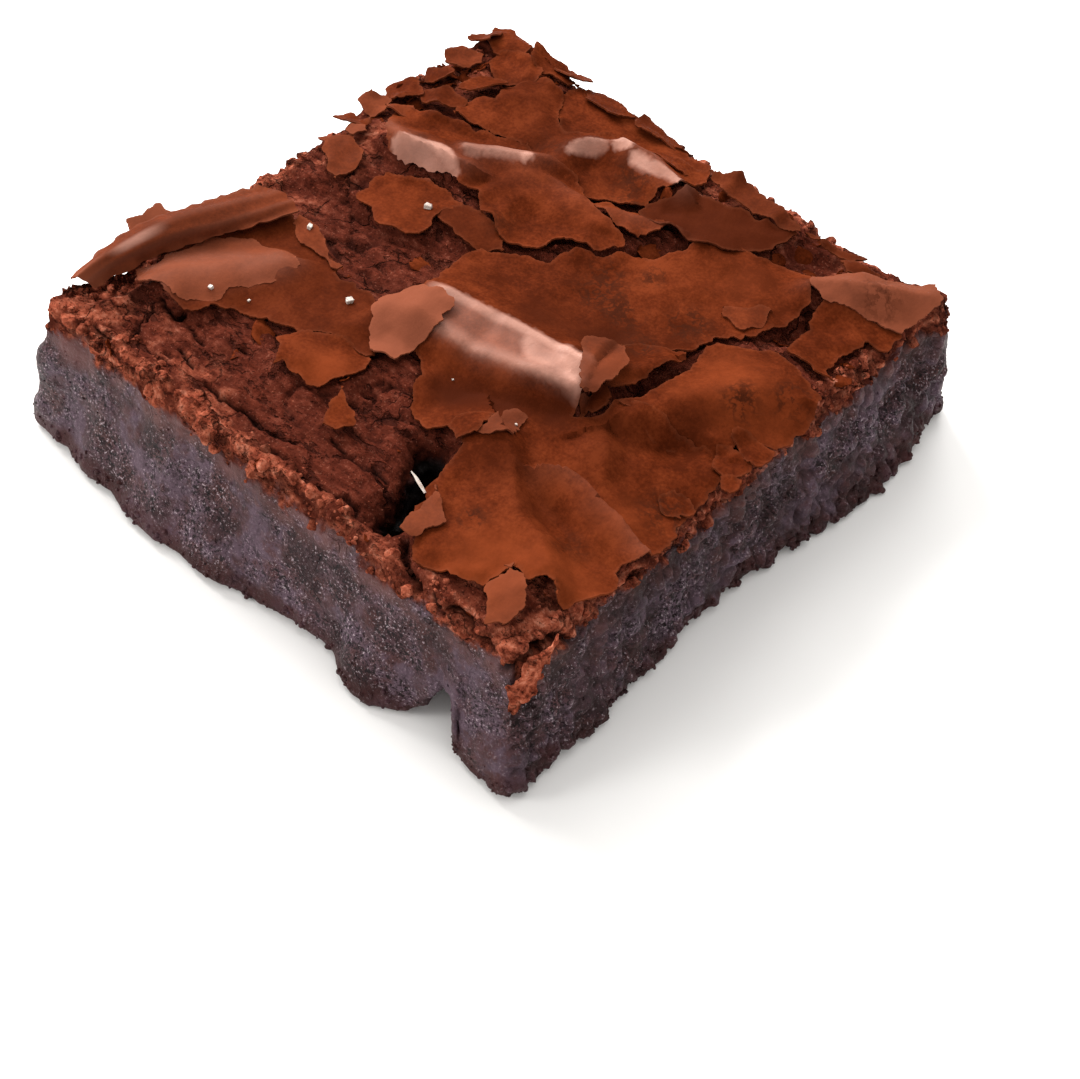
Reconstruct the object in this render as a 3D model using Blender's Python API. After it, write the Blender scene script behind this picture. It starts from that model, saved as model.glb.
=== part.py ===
"""A square of chocolate brownie cut from a tray bake, made as one solid.

Run it with: blender --background --python part.py

Metres, +Z up. The square rests on z = 0 with the middle of its footprint at the origin. Its cut
sides face -Y (smooth and fudgy), +X (crumbly), +Y and -X. The top carries a thin crackled crust:
folds stand up where it buckled, and it lies lower where it flaked away from the crumb.

Places on the top are plan points: hundredths of the top square, (0, 0) at the -X -Y corner and
(100, 100) at the +X +Y corner.
"""

import math

import bmesh
import bpy
from mathutils import Vector, noise

# Driving dimensions, in metres.
TOP_X = 0.0740        # top square, along X
TOP_Y = 0.0755        # top square, along Y
HEIGHT = 0.0200       # underside to the crust's mean level
FLARE = 0.0027        # the base stands this far out past the top on every side

PLAN = 100.0          # plan points run from 0 to this along each edge of the top

# Mesh density.
TOP_CELLS = 54        # cells along each edge of the top
WALL_ROWS = 6         # rows of faces down each cut side
ON_EDGE = 0.01        # a plan point within this many hundredths of an edge lies on that side
UNDERSIDE_RINGS = (0.93, 0.85)   # the rings from the base edge to the flat rest, as shares of its size

# Relief common to the whole square.
CRUST_SWELL = 0.0009  # broad, uneven rise of the crust
CRUST_SWELL_SIZE = 0.022
CRUST_WRINKLE = 0.00035
CRUST_WRINKLE_SIZE = 0.006
WANDER = 1.6          # hundredths by which folds and torn edges stray from their plan
WANDER_SIZE = 0.009
WALL_ROUGH = ((0.0090, 0.0007), (0.0036, 0.00035))   # size and depth of the cut sides' unevenness
WALL_ROUGH_FALL = 0.4   # share of the way down by which it has its full depth
RIM_DROP = 0.0007     # the crust sinks by this much at its cut edges
RIM_WIDTH = 7.0       # hundredths of the top over which it sinks
FOOT_LIFT = 0.0006    # the base edge is worn up by this much on average
CORNER_WEAR = 0.0003  # the four corners are rubbed in by this much
CORNER_REACH = 7.0    # hundredths from a corner over which they are
RIM_WEAR = 0.0007     # crumbs broken off the top's cut edges set them in by up to this much
RIM_WEAR_SIZE = 0.005
RIM_WEAR_REACH = 5.0  # hundredths of the top over which the wear dies out
SEED = Vector((3.7, 9.2, 5.1))
NOISE_OCTAVES = 3
NOISE_FALL = 0.9      # how fast the finer octaves fade
NOISE_SPREAD = 2.1    # how much finer each octave is than the last
PUSH_STARTS = (Vector((0, 0, 0)), Vector((0.31, 0, 0)), Vector((0, 0.47, 0)))   # one for each axis
SHARP_ANGLE = 50.0    # edges that turn by more than this many degrees are shaded sharp

# Folds where the crust buckled: path of plan points, half width in hundredths, height in metres.
FOLDS = (
    ([(47, 38.5), (60, 39.8), (74, 42.5)], 7.5, 0.0034),               # the big roll in the middle
    ([(3, 5), (4, 16), (7, 24), (10, 34)], 6.0, 0.0034),               # curl along the -X edge
    ([(13, 14), (17, 23), (25, 33)], 7.0, 0.0012),                     # lobe beside the curl
    ([(12, 63), (22, 65.5), (27.5, 70), (34, 77)], 5.5, 0.0024),       # back left fold
    ([(33, 80), (37, 87), (42, 92), (54, 89.5)], 5.0, 0.0020),         # back fold
    ([(84.5, 84.5), (91, 90), (99, 98)], 5.0, 0.0022),                 # fold in the back right corner
    ([(88, 67), (89, 60), (91.5, 48)], 9.0, 0.0018),                   # right lobe
    ([(79, 26.5), (87.5, 27.7), (100, 26)], 5.0, 0.0014),              # crease across the front lobe
    ([(72, 28), (81, 19), (92, 12)], 6.0, 0.0008),                     # swell of the front lobe
    ([(34, 18), (45, 20)], 5.0, 0.0008),                               # tongue of the left plate
    ([(2, 99), (10, 99), (20, 96)], 4.5, 0.0014),                      # flakes in the back left corner
    ([(54, 97), (64, 97), (73, 95)], 3.0, 0.0010),                     # sliver along the back rim
)

# Where the crust is gone and the crumb shows: outline in plan points, depth in metres.
BARE_CRUMB = (
    ([(2, 49), (2, 42), (13, 40), (26, 36), (37, 36), (41, 44), (40, 55), (31, 58), (30, 51)], 0.0016),
    ([(1, 2), (3, 11), (19, 14), (21, 20), (33, 20), (36, 13), (46, 15), (48, 26), (58, 21),
      (66, 22), (70, 12), (72, 3)], 0.0011),
    ([(2, 70), (2, 83), (10, 87), (13, 76), (8, 68)], 0.0010),
    ([(73, 88), (75, 95), (84, 96), (85, 90), (80, 87)], 0.0014),
)
BARE_EDGE = 2.0       # hundredths over which the crust steps down to the crumb

# Cracks and pits: path of plan points, half width in hundredths, depth in metres.
CRACKS = (
    ([(65, 19), (68, 14), (70, 6)], 4.6, 0.0058),                      # deep pit near the front
    ([(41, 57), (50, 61), (56, 70), (63, 80), (71, 87)], 3.2, 0.0020),  # crevice between the plates
    ([(88, 72), (88, 82)], 2.6, 0.0024),                               # gap beside the back right fold
    ([(80.5, 47), (81, 57)], 2.4, 0.0022),                             # slit beside the right lobe
    ([(77, 45), (84, 43), (94, 47)], 2.6, 0.0010),                     # valley below the right lobe
)

# Bulges and hollows of the base edge: side, middle along it and half width in hundredths of the
# side, push outwards in metres. Sides run along rising X or Y.
BASE_PUSHES = (
    ("front", 33, 26, 0.0022),
    ("front", 73, 9, 0.0026),
    ("front", 85, 6, -0.0014),
    ("right", 42, 26, -0.0012),
    ("right", 76, 18, 0.0022),
    ("back", 30, 22, 0.0012),
    ("back", 74, 20, 0.0018),
    ("left", 60, 24, 0.0014),
)

# The notch broken out of the base edge near the front corner.
NOTCH_SIDE = "front"
NOTCH_SPAN = (80.0, 90.5)   # hundredths along the side
NOTCH_SLOPE_LEFT = 5.0      # hundredths over which it rises at its -X end
NOTCH_SLOPE_RIGHT = 1.6     # and at its +X end
NOTCH_HEIGHT = 0.0064
NOTCH_RUN_IN = 0.7    # share of its height that is left a little way in under the square

# The curl along the -X edge hangs out over the cut side.
CURL_SPAN = (3.0, 34.0)   # hundredths along the side
CURL_OVERHANG = 0.0020


def hump(offset, half_width):
    """1 in the middle, falling smoothly to 0 at half_width on either side."""
    if abs(offset) >= half_width:
        return 0.0
    return 0.5 + 0.5 * math.cos(math.pi * offset / half_width)


def smooth_step(value):
    """0 below 0 and 1 above 1, with a smooth rise between."""
    share = min(1.0, max(0.0, value))
    return share * share * (3.0 - 2.0 * share)


def path_distance(point, path):
    """Distance from a plan point to the nearest stretch of a path."""
    nearest = math.inf
    for start, end in zip(path, path[1:]):
        begin, finish = Vector(start), Vector(end)
        run = finish - begin
        share = min(1.0, max(0.0, (point - begin).dot(run) / run.length_squared))
        nearest = min(nearest, (point - begin - share * run).length)
    return nearest


def depth_inside(point, outline):
    """Distance from a plan point to an outline, negative outside it."""
    distance = path_distance(point, [*outline, outline[0]])
    corners = [Vector((x, y)) for x, y in outline]
    crossings = 0
    for start, end in zip(corners, [*corners[1:], corners[0]]):
        if (start.y > point.y) != (end.y > point.y):
            across = start.x + (point.y - start.y) / (end.y - start.y) * (end.x - start.x)
            crossings += point.x < across
    return distance if crossings % 2 else -distance


def uneven(place, size):
    """Smooth noise from about -1 to 1, whose bumps are about size across."""
    return noise.fractal(place / size + SEED, NOISE_FALL, NOISE_SPREAD, NOISE_OCTAVES)


def uneven_push(place, size):
    """A smooth push in an uneven direction, each part of it from about -1 to 1."""
    return Vector([uneven(place + start, size) for start in PUSH_STARTS])


def stray(point, place):
    """The plan point whose features lie at this one, so that folds and torn edges wander."""
    shift = uneven_push(place, WANDER_SIZE)
    return point + WANDER * Vector((shift.x, shift.y))


def crust_height(point):
    """Height of the top at a plan point, in metres above the underside."""
    place = Vector((point.x / PLAN * TOP_X, point.y / PLAN * TOP_Y, 0.0))
    height = HEIGHT + CRUST_SWELL * uneven(place, CRUST_SWELL_SIZE)
    height += CRUST_WRINKLE * uneven(place, CRUST_WRINKLE_SIZE)
    edge = min(point.x, point.y, PLAN - point.x, PLAN - point.y)
    point = stray(point, place)
    height += max(rise * hump(path_distance(point, path), width) for path, width, rise in FOLDS)
    for outline, depth in BARE_CRUMB:
        height -= depth * smooth_step(depth_inside(point, outline) / BARE_EDGE + 0.5)
    for path, width, depth in CRACKS:
        height -= depth * hump(path_distance(point, path), width)
    return height - RIM_DROP * (1.0 - smooth_step(edge / RIM_WIDTH))


def side_offsets(point):
    """For each cut side: its name, outward direction, the place along it and the distance in from it."""
    return (
        ("front", Vector((0, -1, 0)), point.x, point.y),
        ("right", Vector((1, 0, 0)), point.y, PLAN - point.x),
        ("back", Vector((0, 1, 0)), point.x, PLAN - point.y),
        ("left", Vector((-1, 0, 0)), point.y, point.x),
    )


def sides_of(point):
    """The cut sides that a rim point lies on, each with its outward direction and the place along it."""
    return [(name, out, along) for name, out, along, inset in side_offsets(point) if inset < ON_EDGE]


def plan_to_place(point, height, worn_share=1.0):
    """A plan point at a height, in metres, with the top square's middle over the origin."""
    place = Vector(((point.x / PLAN - 0.5) * TOP_X, (point.y / PLAN - 0.5) * TOP_Y, height))
    corner = Vector((PLAN * (place.x > 0), PLAN * (place.y > 0)))
    wear = CORNER_WEAR * hump((point - corner).length, CORNER_REACH)
    worn = place - wear * Vector((math.copysign(1, place.x), math.copysign(1, place.y), 0.0))
    flat = Vector((place.x, place.y, 0.0))
    crumbled = worn_share * RIM_WEAR * smooth_step(0.5 + uneven(flat, RIM_WEAR_SIZE))
    for _, outwards, _, inset in side_offsets(point):
        worn -= outwards * crumbled * (1.0 - smooth_step(inset / RIM_WEAR_REACH))
    return worn


def spread(place, fall):
    """The same place with the flare of the sides, which grows with fall from 0 at the top to 1."""
    wider_x = 1.0 + FLARE * fall / (TOP_X / 2)
    wider_y = 1.0 + FLARE * fall / (TOP_Y / 2)
    return Vector((place.x * wider_x, place.y * wider_y, place.z))


def base_bulge(point):
    """The bulge of the base edge at a rim point."""
    push = Vector((0, 0, 0))
    for side, outwards, along in sides_of(point):
        for name, middle, width, size in BASE_PUSHES:
            if name == side:
                push += outwards * size * hump(along - middle, width)
    return push


def notch_lift(point):
    """How far the base edge is broken away upwards at a rim point: steeply on the +X side."""
    for side, _, along in sides_of(point):
        if side == NOTCH_SIDE:
            left, right = NOTCH_SPAN
            rise = smooth_step((along - left) / NOTCH_SLOPE_LEFT)
            return NOTCH_HEIGHT * rise * smooth_step((right - along) / NOTCH_SLOPE_RIGHT)
    return 0.0


def wall_place(point, fall):
    """Where a rim point lies on the cut side at fall, which runs from 0 at the top to 1 at the base."""
    top = crust_height(point)
    foot = FOOT_LIFT + notch_lift(point)
    place = spread(plan_to_place(point, top + (foot - top) * fall, 1.0 - fall), fall)
    place += base_bulge(point) * fall * fall
    rough = Vector((0, 0, 0))
    for size, depth in WALL_ROUGH:
        rough += uneven_push(place, size) * depth
    rough.z *= 1.0 - fall
    return place + rough * smooth_step(fall / WALL_ROUGH_FALL)


def curl_push(point):
    """The outward push of the curl on the -X edge."""
    if point.x > ON_EDGE:
        return Vector((0, 0, 0))
    middle = sum(CURL_SPAN) / 2
    return Vector((-CURL_OVERHANG * hump(point.y - middle, middle - CURL_SPAN[0]), 0, 0))


def boundary_edges(mesh):
    return [edge for edge in mesh.edges if edge.is_boundary]


def extrude_rim(mesh, rim):
    """Extrudes the open rim by one row. rim and the result map each rim vertex to its plan point."""
    old = {vertex.co.copy().freeze(): point for vertex, point in rim.items()}
    made = bmesh.ops.extrude_edge_only(mesh, edges=boundary_edges(mesh))["geom"]
    new = [item for item in made if isinstance(item, bmesh.types.BMVert)]
    return {vertex: old[vertex.co.copy().freeze()] for vertex in new}


def make_top(mesh):
    """The crust as a grid, lifted to its relief. Returns the rim's vertices with their plan points."""
    half = PLAN / 2
    made = bmesh.ops.create_grid(mesh, x_segments=TOP_CELLS, y_segments=TOP_CELLS, size=half)
    points = {v: Vector((v.co.x + half, v.co.y + half)) for v in made["verts"]}
    rim = {v: points[v] for v in points if v.is_boundary}
    for vertex, point in points.items():
        vertex.co = plan_to_place(point, crust_height(point))
    return rim


def make_walls(mesh, rim):
    """The cut sides, row by row from the rim to the base edge."""
    top_rim = dict(rim)
    for row in range(1, WALL_ROWS + 1):
        rim = extrude_rim(mesh, rim)
        for vertex, point in rim.items():
            vertex.co = wall_place(point, row / WALL_ROWS)
    for vertex, point in top_rim.items():
        vertex.co += curl_push(point)
    return rim


def make_underside(mesh, rim):
    """The worn edge of the underside, under which the notch runs in, and the flat that it rests on."""
    for share in UNDERSIDE_RINGS:
        rim = extrude_rim(mesh, rim)
        arch = 0.0 if share == UNDERSIDE_RINGS[-1] else NOTCH_RUN_IN
        for vertex, point in rim.items():
            place = spread(plan_to_place(point, 0.0), 1.0) + base_bulge(point)
            vertex.co = Vector((place.x * share, place.y * share, arch * notch_lift(point)))
    flat = bmesh.ops.contextual_create(mesh, geom=boundary_edges(mesh))["faces"]
    bmesh.ops.poke(mesh, faces=flat)


def centre_on_footprint(mesh):
    """Moves the solid so that the middle of its footprint is at the origin."""
    xs = [vertex.co.x for vertex in mesh.verts]
    ys = [vertex.co.y for vertex in mesh.verts]
    middle = Vector(((min(xs) + max(xs)) / 2, (min(ys) + max(ys)) / 2, 0.0))
    bmesh.ops.translate(mesh, verts=mesh.verts, vec=-middle)


def crumb_material():
    material = bpy.data.materials.new("chocolate_crumb")
    material.use_nodes = True
    shader = material.node_tree.nodes["Principled BSDF"]
    shader.inputs["Base Color"].default_value = (0.105, 0.031, 0.014, 1.0)
    shader.inputs["Roughness"].default_value = 0.6
    shader.inputs["Metallic"].default_value = 0.0
    return material


def make_brownie():
    mesh = bmesh.new()
    rim = make_top(mesh)
    rim = make_walls(mesh, rim)
    make_underside(mesh, rim)
    centre_on_footprint(mesh)
    bmesh.ops.triangulate(mesh, faces=mesh.faces)
    bmesh.ops.recalc_face_normals(mesh, faces=mesh.faces)
    data = bpy.data.meshes.new("brownie")
    mesh.to_mesh(data)
    mesh.free()
    data.materials.append(crumb_material())
    data.shade_smooth()
    data.set_sharp_from_angle(angle=math.radians(SHARP_ANGLE))
    brownie = bpy.data.objects.new("brownie", data)
    bpy.context.scene.collection.objects.link(brownie)
    return brownie


def main():
    for item in list(bpy.data.objects):
        bpy.data.objects.remove(item)
    make_brownie()


main()
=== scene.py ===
"""The looks of a square of chocolate brownie: fudgy crumb under a thin, crackled crust.

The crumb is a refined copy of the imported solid. The crust is made of torn plates that lie on it,
with folds where it buckled, and crumbs, small flakes and salt grains are scattered over both.

Places on the top are plan points: hundredths of the top square, (0, 0) at the -X -Y corner and
(100, 100) at the +X +Y corner. Lengths called mm are millimetres, all others are metres. Shares and
the marks that the materials read from a piece run from 0 to 1.
"""

import math
import random
from collections import namedtuple
from types import SimpleNamespace

import bmesh
import bpy
import numpy as np
from mathutils import Matrix, Vector, geometry, noise
from mathutils.bvhtree import BVHTree


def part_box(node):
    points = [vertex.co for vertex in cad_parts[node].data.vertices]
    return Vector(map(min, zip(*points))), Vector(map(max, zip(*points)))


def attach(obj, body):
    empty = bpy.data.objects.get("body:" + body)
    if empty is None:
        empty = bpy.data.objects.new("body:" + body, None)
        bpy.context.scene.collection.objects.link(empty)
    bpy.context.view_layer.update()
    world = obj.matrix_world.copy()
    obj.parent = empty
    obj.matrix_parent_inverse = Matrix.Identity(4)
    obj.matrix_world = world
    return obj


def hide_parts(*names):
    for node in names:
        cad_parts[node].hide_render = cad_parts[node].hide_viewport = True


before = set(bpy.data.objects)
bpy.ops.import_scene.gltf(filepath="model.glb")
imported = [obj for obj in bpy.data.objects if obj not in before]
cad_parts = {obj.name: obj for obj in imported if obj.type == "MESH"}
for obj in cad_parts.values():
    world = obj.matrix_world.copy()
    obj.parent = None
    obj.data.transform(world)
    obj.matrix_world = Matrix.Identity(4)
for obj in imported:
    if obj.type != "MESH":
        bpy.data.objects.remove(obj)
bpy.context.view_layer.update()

MM = 0.001
PLAN = 100.0
UP = Vector((0, 0, 1))
DOWN = -UP

# The top square and its level, as shares of the solid's box.
BOX_LOW, BOX_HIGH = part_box("brownie")
TOP_LOW_SHARE = np.array((0.04898, 0.06292))
TOP_HIGH_SHARE = np.array((0.94113, 0.94616))
TOP_LEVEL = 0.8295 * BOX_HIGH.z

BOX_SIZE = np.array(BOX_HIGH - BOX_LOW)
TOP_LOW = np.array(BOX_LOW)[:2] + TOP_LOW_SHARE * BOX_SIZE[:2]
TOP_SIZE = (TOP_HIGH_SHARE - TOP_LOW_SHARE) * BOX_SIZE[:2]
TOP_MIDDLE = TOP_LOW + TOP_SIZE / 2

# The crust's relief. Its broad swell is the same as on the solid.
SEED = Vector((3.7, 9.2, 5.1))
NOISE_FALL = 0.9      # how fast the finer octaves of unevenness fade
NOISE_STEP = 2.1      # how much finer each octave is than the last
SWELL = 0.9 * MM
SWELL_SIZE = 22 * MM
CRINKLE = 0.28 * MM
CRINKLE_SIZE = 11 * MM
CRUMPLES = ((9.0, 0.50 * MM), (4.2, 0.20 * MM))    # hundredths between the corners of facets, and height
WARP = 1.6            # hundredths by which the facets' edges stray
WARP_SIZE = 5 * MM
RIM_DROP = 0.7 * MM
RIM_WIDTH = 7.0
CRUST_THICKNESS = 0.20 * MM


# ---------------------------------------------------------------- small tools

def rows(text):
    """The rows of numbers in a text, which has a comma between rows."""
    return [tuple(map(float, row.split())) for row in text.split(",")]


def smooth_step(value):
    share = np.clip(value, 0.0, 1.0)
    return share * share * (3.0 - 2.0 * share)


def plan_to_xy(points):
    """Plan points, as rows, to metres."""
    return TOP_LOW + np.asarray(points, float) / PLAN * TOP_SIZE


def xy_to_plan(places):
    return (np.asarray(places, float)[:, :2] - TOP_LOW) / TOP_SIZE * PLAN


def with_zero(points):
    """Rows of two numbers with a zero added to each."""
    return np.column_stack([points, np.zeros(len(points))])


def uneven(places, size, octaves=3):
    """Smooth noise from about -1 to 1 at each place, whose bumps are about size across."""
    return np.array([
        noise.fractal(Vector(place) / size + SEED, NOISE_FALL, NOISE_STEP, octaves) for place in places
    ])


def path_offsets(points, path):
    """For each plan point: its distance from a path, and which side of it the point is on."""
    path = np.asarray(path, float)
    best = np.full(len(points), np.inf)
    side = np.zeros(len(points))
    for start, end in zip(path, path[1:]):
        run = end - start
        length = np.hypot(*run)
        offset = points - start
        ahead = offset @ run / length
        near = start + np.clip(ahead, 0, length)[:, None] / length * run
        distance = np.hypot(*(points - near).T)
        closer = distance < best
        best[closer] = distance[closer]
        side[closer] = np.sign(run[0] * offset[:, 1] - run[1] * offset[:, 0])[closer]
    return best, side


def edge_distance(points, outline):
    """How far each point lies from an outline's nearest edge."""
    best = np.full(len(points), np.inf)
    for start, end in zip(outline, np.roll(outline, -1, axis=0)):
        run = end - start
        share = np.clip((points - start) @ run / max(run @ run, 1e-18), 0, 1)
        best = np.minimum(best, np.hypot(*(points - start - share[:, None] * run).T))
    return best


def inside(points, outline):
    """Whether each point lies inside an outline."""
    outline = np.asarray(outline, float)
    crossings = np.zeros(len(points), int)
    for start, end in zip(outline, np.roll(outline, -1, axis=0)):
        spans = (start[1] > points[:, 1]) != (end[1] > points[:, 1])
        rise = end[1] - start[1] if end[1] != start[1] else 1.0
        across = start[0] + (points[:, 1] - start[1]) / rise * (end[0] - start[0])
        crossings += spans & (points[:, 0] < across)
    return crossings % 2 == 1


def spots(points, places):
    """Sum of soft round spots, up to 1, each at a plan point and with a reach and an amount."""
    total = np.zeros(len(points))
    for across, up, reach, amount in places:
        distance = np.hypot(*(points - np.array((across, up))).T) / reach
        total += amount * (1.0 - smooth_step(distance))
    return np.minimum(total, 1.0)


def set_marks(mesh, marks):
    """Writes the marks that materials and scatters read, by name, on the mesh's vertices."""
    for name, values in marks.items():
        layer = mesh.attributes.get(name) or mesh.attributes.new(name, "FLOAT", "POINT")
        values = np.broadcast_to(values, len(mesh.vertices))
        layer.data.foreach_set("value", np.ascontiguousarray(values, np.float32))


def coordinates(mesh):
    flat = np.empty(len(mesh.vertices) * 3, np.float32)
    mesh.vertices.foreach_get("co", flat)
    return flat.reshape(-1, 3).astype(float)


def new_object(name, mesh):
    made = bpy.data.objects.new(name, mesh)
    bpy.context.scene.collection.objects.link(made)
    return made


def apply_modifiers(piece):
    """Turns what the modifiers make into the piece's own plain mesh."""
    shown = piece.evaluated_get(bpy.context.evaluated_depsgraph_get())
    mesh = bpy.data.meshes.new_from_object(shown)
    mesh.name = piece.name
    piece.modifiers.clear()
    piece.data = mesh
    return piece


def finish_piece(piece, replaces=None):
    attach(piece, "root")
    if replaces:
        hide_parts(replaces)
    return piece


def piece_from(name, mesh, material):
    """A finished piece of one material."""
    mesh.materials.append(material)
    return finish_piece(new_object(name, mesh))


class Value:
    """An output in a node tree, which takes part in sums as a number does."""

    def __init__(self, nodes, socket):
        self.nodes = nodes
        self.socket = socket

    def beside(self, output):
        """Another output of the same node."""
        return Value(self.nodes, self.socket.node.outputs[output])

    def __add__(self, other):
        return self.nodes.math("ADD", self, other)

    def __sub__(self, other):
        return self.nodes.math("SUBTRACT", self, other)

    def __mul__(self, other):
        return self.nodes.math("MULTIPLY", self, other)


class Nodes:
    """A node tree that is filled by adding nodes. An input is a value or another node's output."""

    def __init__(self, tree):
        self.tree = tree

    def connect(self, value, socket):
        if isinstance(value, Value):
            self.tree.links.new(value.socket, socket)
        elif socket.type == "RGBA":
            socket.default_value = (*value, 1.0)
        else:
            socket.default_value = value

    def add(self, kind, inputs, output=0, **settings):
        """Adds a node and gives one of its outputs."""
        node = self.tree.nodes.new(kind)
        for name, value in settings.items():
            setattr(node, name, value)
        for name, value in inputs.items():
            self.connect(value, node.inputs[name])
        return Value(self, node.outputs[output])

    def math(self, operation, *values, clamp=False):
        inputs = dict(enumerate(values))
        return self.add("ShaderNodeMath", inputs, operation=operation, use_clamp=clamp)

    def place(self):
        """Places on the piece, in metres."""
        return self.add("ShaderNodeTexCoord", {}, "Object")

    def mark(self, name):
        return self.add("ShaderNodeAttribute", {}, "Fac", attribute_name=name)

    def grain(self, scale, detail=3.0, roughness=0.6, place=None):
        """Noise with scale bumps to the metre."""
        inputs = {"Vector": place or self.place(), "Scale": scale, "Detail": detail, "Roughness": roughness}
        return self.add("ShaderNodeTexNoise", inputs)

    def ramp(self, value, stops):
        """Colours between stops, each a place and a colour."""
        colour = self.add("ShaderNodeValToRGB", {"Fac": value}, "Color")
        elements = colour.socket.node.color_ramp.elements
        while len(elements) < len(stops):
            elements.new(0.5)
        for element, (place, *shade) in zip(elements, stops):
            element.position = place
            element.color = (*shade, 1.0)
        return colour

    def rise(self, value, low, high, first=0.0):
        """Grows to 1 between two levels of a value."""
        return self.ramp(value, [(low, first, first, first), (high, 1, 1, 1)])

    def fall(self, value, low, high):
        """Shrinks from 1 to 0 between two levels of a value."""
        return self.ramp(value, [(low, 1, 1, 1), (high, 0, 0, 0)])

    def mix(self, share, first, second):
        return self.add("ShaderNodeMix", {0: share, 6: first, 7: second}, 2, data_type="RGBA")

    def coat(self, colour, coats):
        """Lays coats of colour one over another, each with its share."""
        for share, coat in coats:
            colour = self.mix(share, colour, coat)
        return colour


# ---------------------------------------------------------------- the crust's relief

Fold = namedtuple("Fold", "path left right height crest bloom")

CRESTS = {
    "round": lambda share: 0.5 + 0.5 * np.cos(math.pi * share),
    "roof": lambda share: 1.0 - share,
}


def folded(path, left, right, height, crest="roof", bloom=0.0):
    """A path of plan points, half widths to its left and right in hundredths, height in mm, kind of
    crest, and how much gloss and painted sheen, a pale highlight, its crest takes."""
    return Fold(rows(path), left, right, height * MM, CRESTS[crest], bloom)


FOLDS = (
    folded("10.5 12, 14.5 22, 19.5 30", 6, 9, 1.5, "round", 0.12),
    folded("8.5 64, 14 63.5, 20 65.4, 26 66.6", 6, 3, 2.4, "roof", 0.12),
    folded("23 69.4, 27 72.7, 33.5 76.2", 5, 4.5, 2.2, "roof", 0.12),
    folded("33.5 82.5, 36 86.5, 39.3 88.8", 4, 4.5, 1.8, "roof", 0.03),
    folded("40 90, 46 90.3, 55 88.5", 3, 5, 2, "roof", 0.1),
    folded("34 74.3, 39 75.4, 44.5 75.4", 1.6, 8, 1.2, "roof", 0.03),
    folded("47 75.5, 52 77.6, 59 80", 1.4, 6, 1.1, "roof", 0.05),
    folded("15 86, 20 88, 25 86.5", 5, 5, 0.9),
    folded("4 99, 10 99, 20 96", 4.5, 4.5, 1, "round"),
    folded("84.5 84.5, 91 89, 99 97", 5, 5, 1.8, "roof", 0.05),
    folded("83 44, 85 48, 88.3 53.2, 92 58.5, 98 62", 15, 6.5, 2.2, "round"),
    folded("79.3 26.2, 83 28.4, 86 28.6, 90 27.5, 94.5 27, 102 25.3", 0.9, 5, 1.7, "roof", 0.06),
    folded("72.5 26.5, 76.5 24, 80.5 20, 85 16.8, 89.5 15.8, 96 11.5", 3.2, 12, 2),
    folded("77 42, 83 37.2, 86 34", 3, 4.5, 1.2),
    folded("34 18, 45 20", 5, 5, 0.7, "round"),
    folded("54 97, 64 97, 73 95", 3, 3, 0.8, "round"),
    folded("53 52, 62 60, 70 72", 7, 9, 0.6),
    folded("45 60, 50 66, 56 70", 3, 7, 0.6),
    folded("66 80, 74 81, 80 78", 5, 7, 0.6),
)
VALLEYS = (
    folded("78 39.8, 83 39.7, 87 42.4, 93 46.6, 96.5 47.3", 2, 4, 1.1),
    folded("11 69, 15 72.5, 23 77, 32.5 82", 3, 3.5, 0.7),
    folded("80 24.5, 84.5 22.3, 89 21.3, 96 18.5", 2.6, 3, 0.8),
    folded("39 82, 48 81.5, 55 83", 3.5, 3.5, 0.5),
)

# The big roll: a flat-topped ridge between two creases. Each row is a line of plan points, from the
# foot behind it to the foot in front, and how high it lies as a share of the roll's height.
ROLL_HEIGHT = 3.3 * MM
ROLL_ROWS = (
    (rows("40 53, 53 53.5, 61 54, 69 54.5, 75 55"), 0),
    (rows("40 47, 53 48, 61 48.7, 69 49.3, 75 49.5"), 0.4),
    (rows("40 42.6, 45.2 43.2, 52.3 44.1, 59.5 45, 67.1 45.7, 75 46.4"), 0.9),
    (rows("40 41, 45.2 41.7, 52.3 42.6, 59.5 43.5, 67.1 44.2, 75 44.9"), 1),
    (rows("40 39.4, 53 41.2, 60 42.1, 67 43, 75 43.8"), 0.93),
    (rows("40 36.8, 53 38.3, 60 39.2, 67 40.5, 75 41.9"), 0.85),
    (rows("40 34, 53.4 35.1, 59.3 36, 64.4 37.2, 69.7 38.8, 75 40.6"), 0.93),
    (rows("40 33, 53.4 34.2, 59.3 35.1, 64.4 36.2, 69.7 37.7, 75 39.8"), 0.78),
    (rows("40 31.4, 54.2 32.6, 60.8 33, 67.9 35.6, 75 38.4"), 0.34),
    (rows("40 30, 54.2 30.8, 60.8 30.8, 67.9 33.2, 75 36.6"), 0),
)
# How strong the painted sheen, a pale highlight along the creases, is on the roll from row to row and
# along it, how high it is along it, and where it is torn off.
ROLL_SHEEN = rows(
    "0 0, 2.5 0, 2.85 0.85, 3.1 1, 3.6 0.9, 4.1 0.34, 5.2 0.28, 5.75 0.56, 6.4 0.68, 6.9 0.28, 7.3 0.04, "
    "8 0"
)
ROLL_SHEEN_ALONG = rows("42 0, 45 0.75, 52 0.7, 60 0.85, 66 1, 72 1.25, 78 1.2")
ROLL_ALONG = rows("37 0, 41 0.55, 46 0.86, 53 0.95, 62 1, 78 1")
ROLL_TEAR = rows("71.5 53, 71.8 48.5, 72.5 45.5, 73.8 43.2, 74.9 40.8, 76.1 37.6, 77 34")
TEAR_FALL = 1.5    # hundredths past the tear over which the roll's end drops


def along(line, places):
    """Reads a line of (place, value) pairs at each place."""
    places_of_line, values = np.asarray(line, float).T
    return np.interp(places, places_of_line, values)


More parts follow.
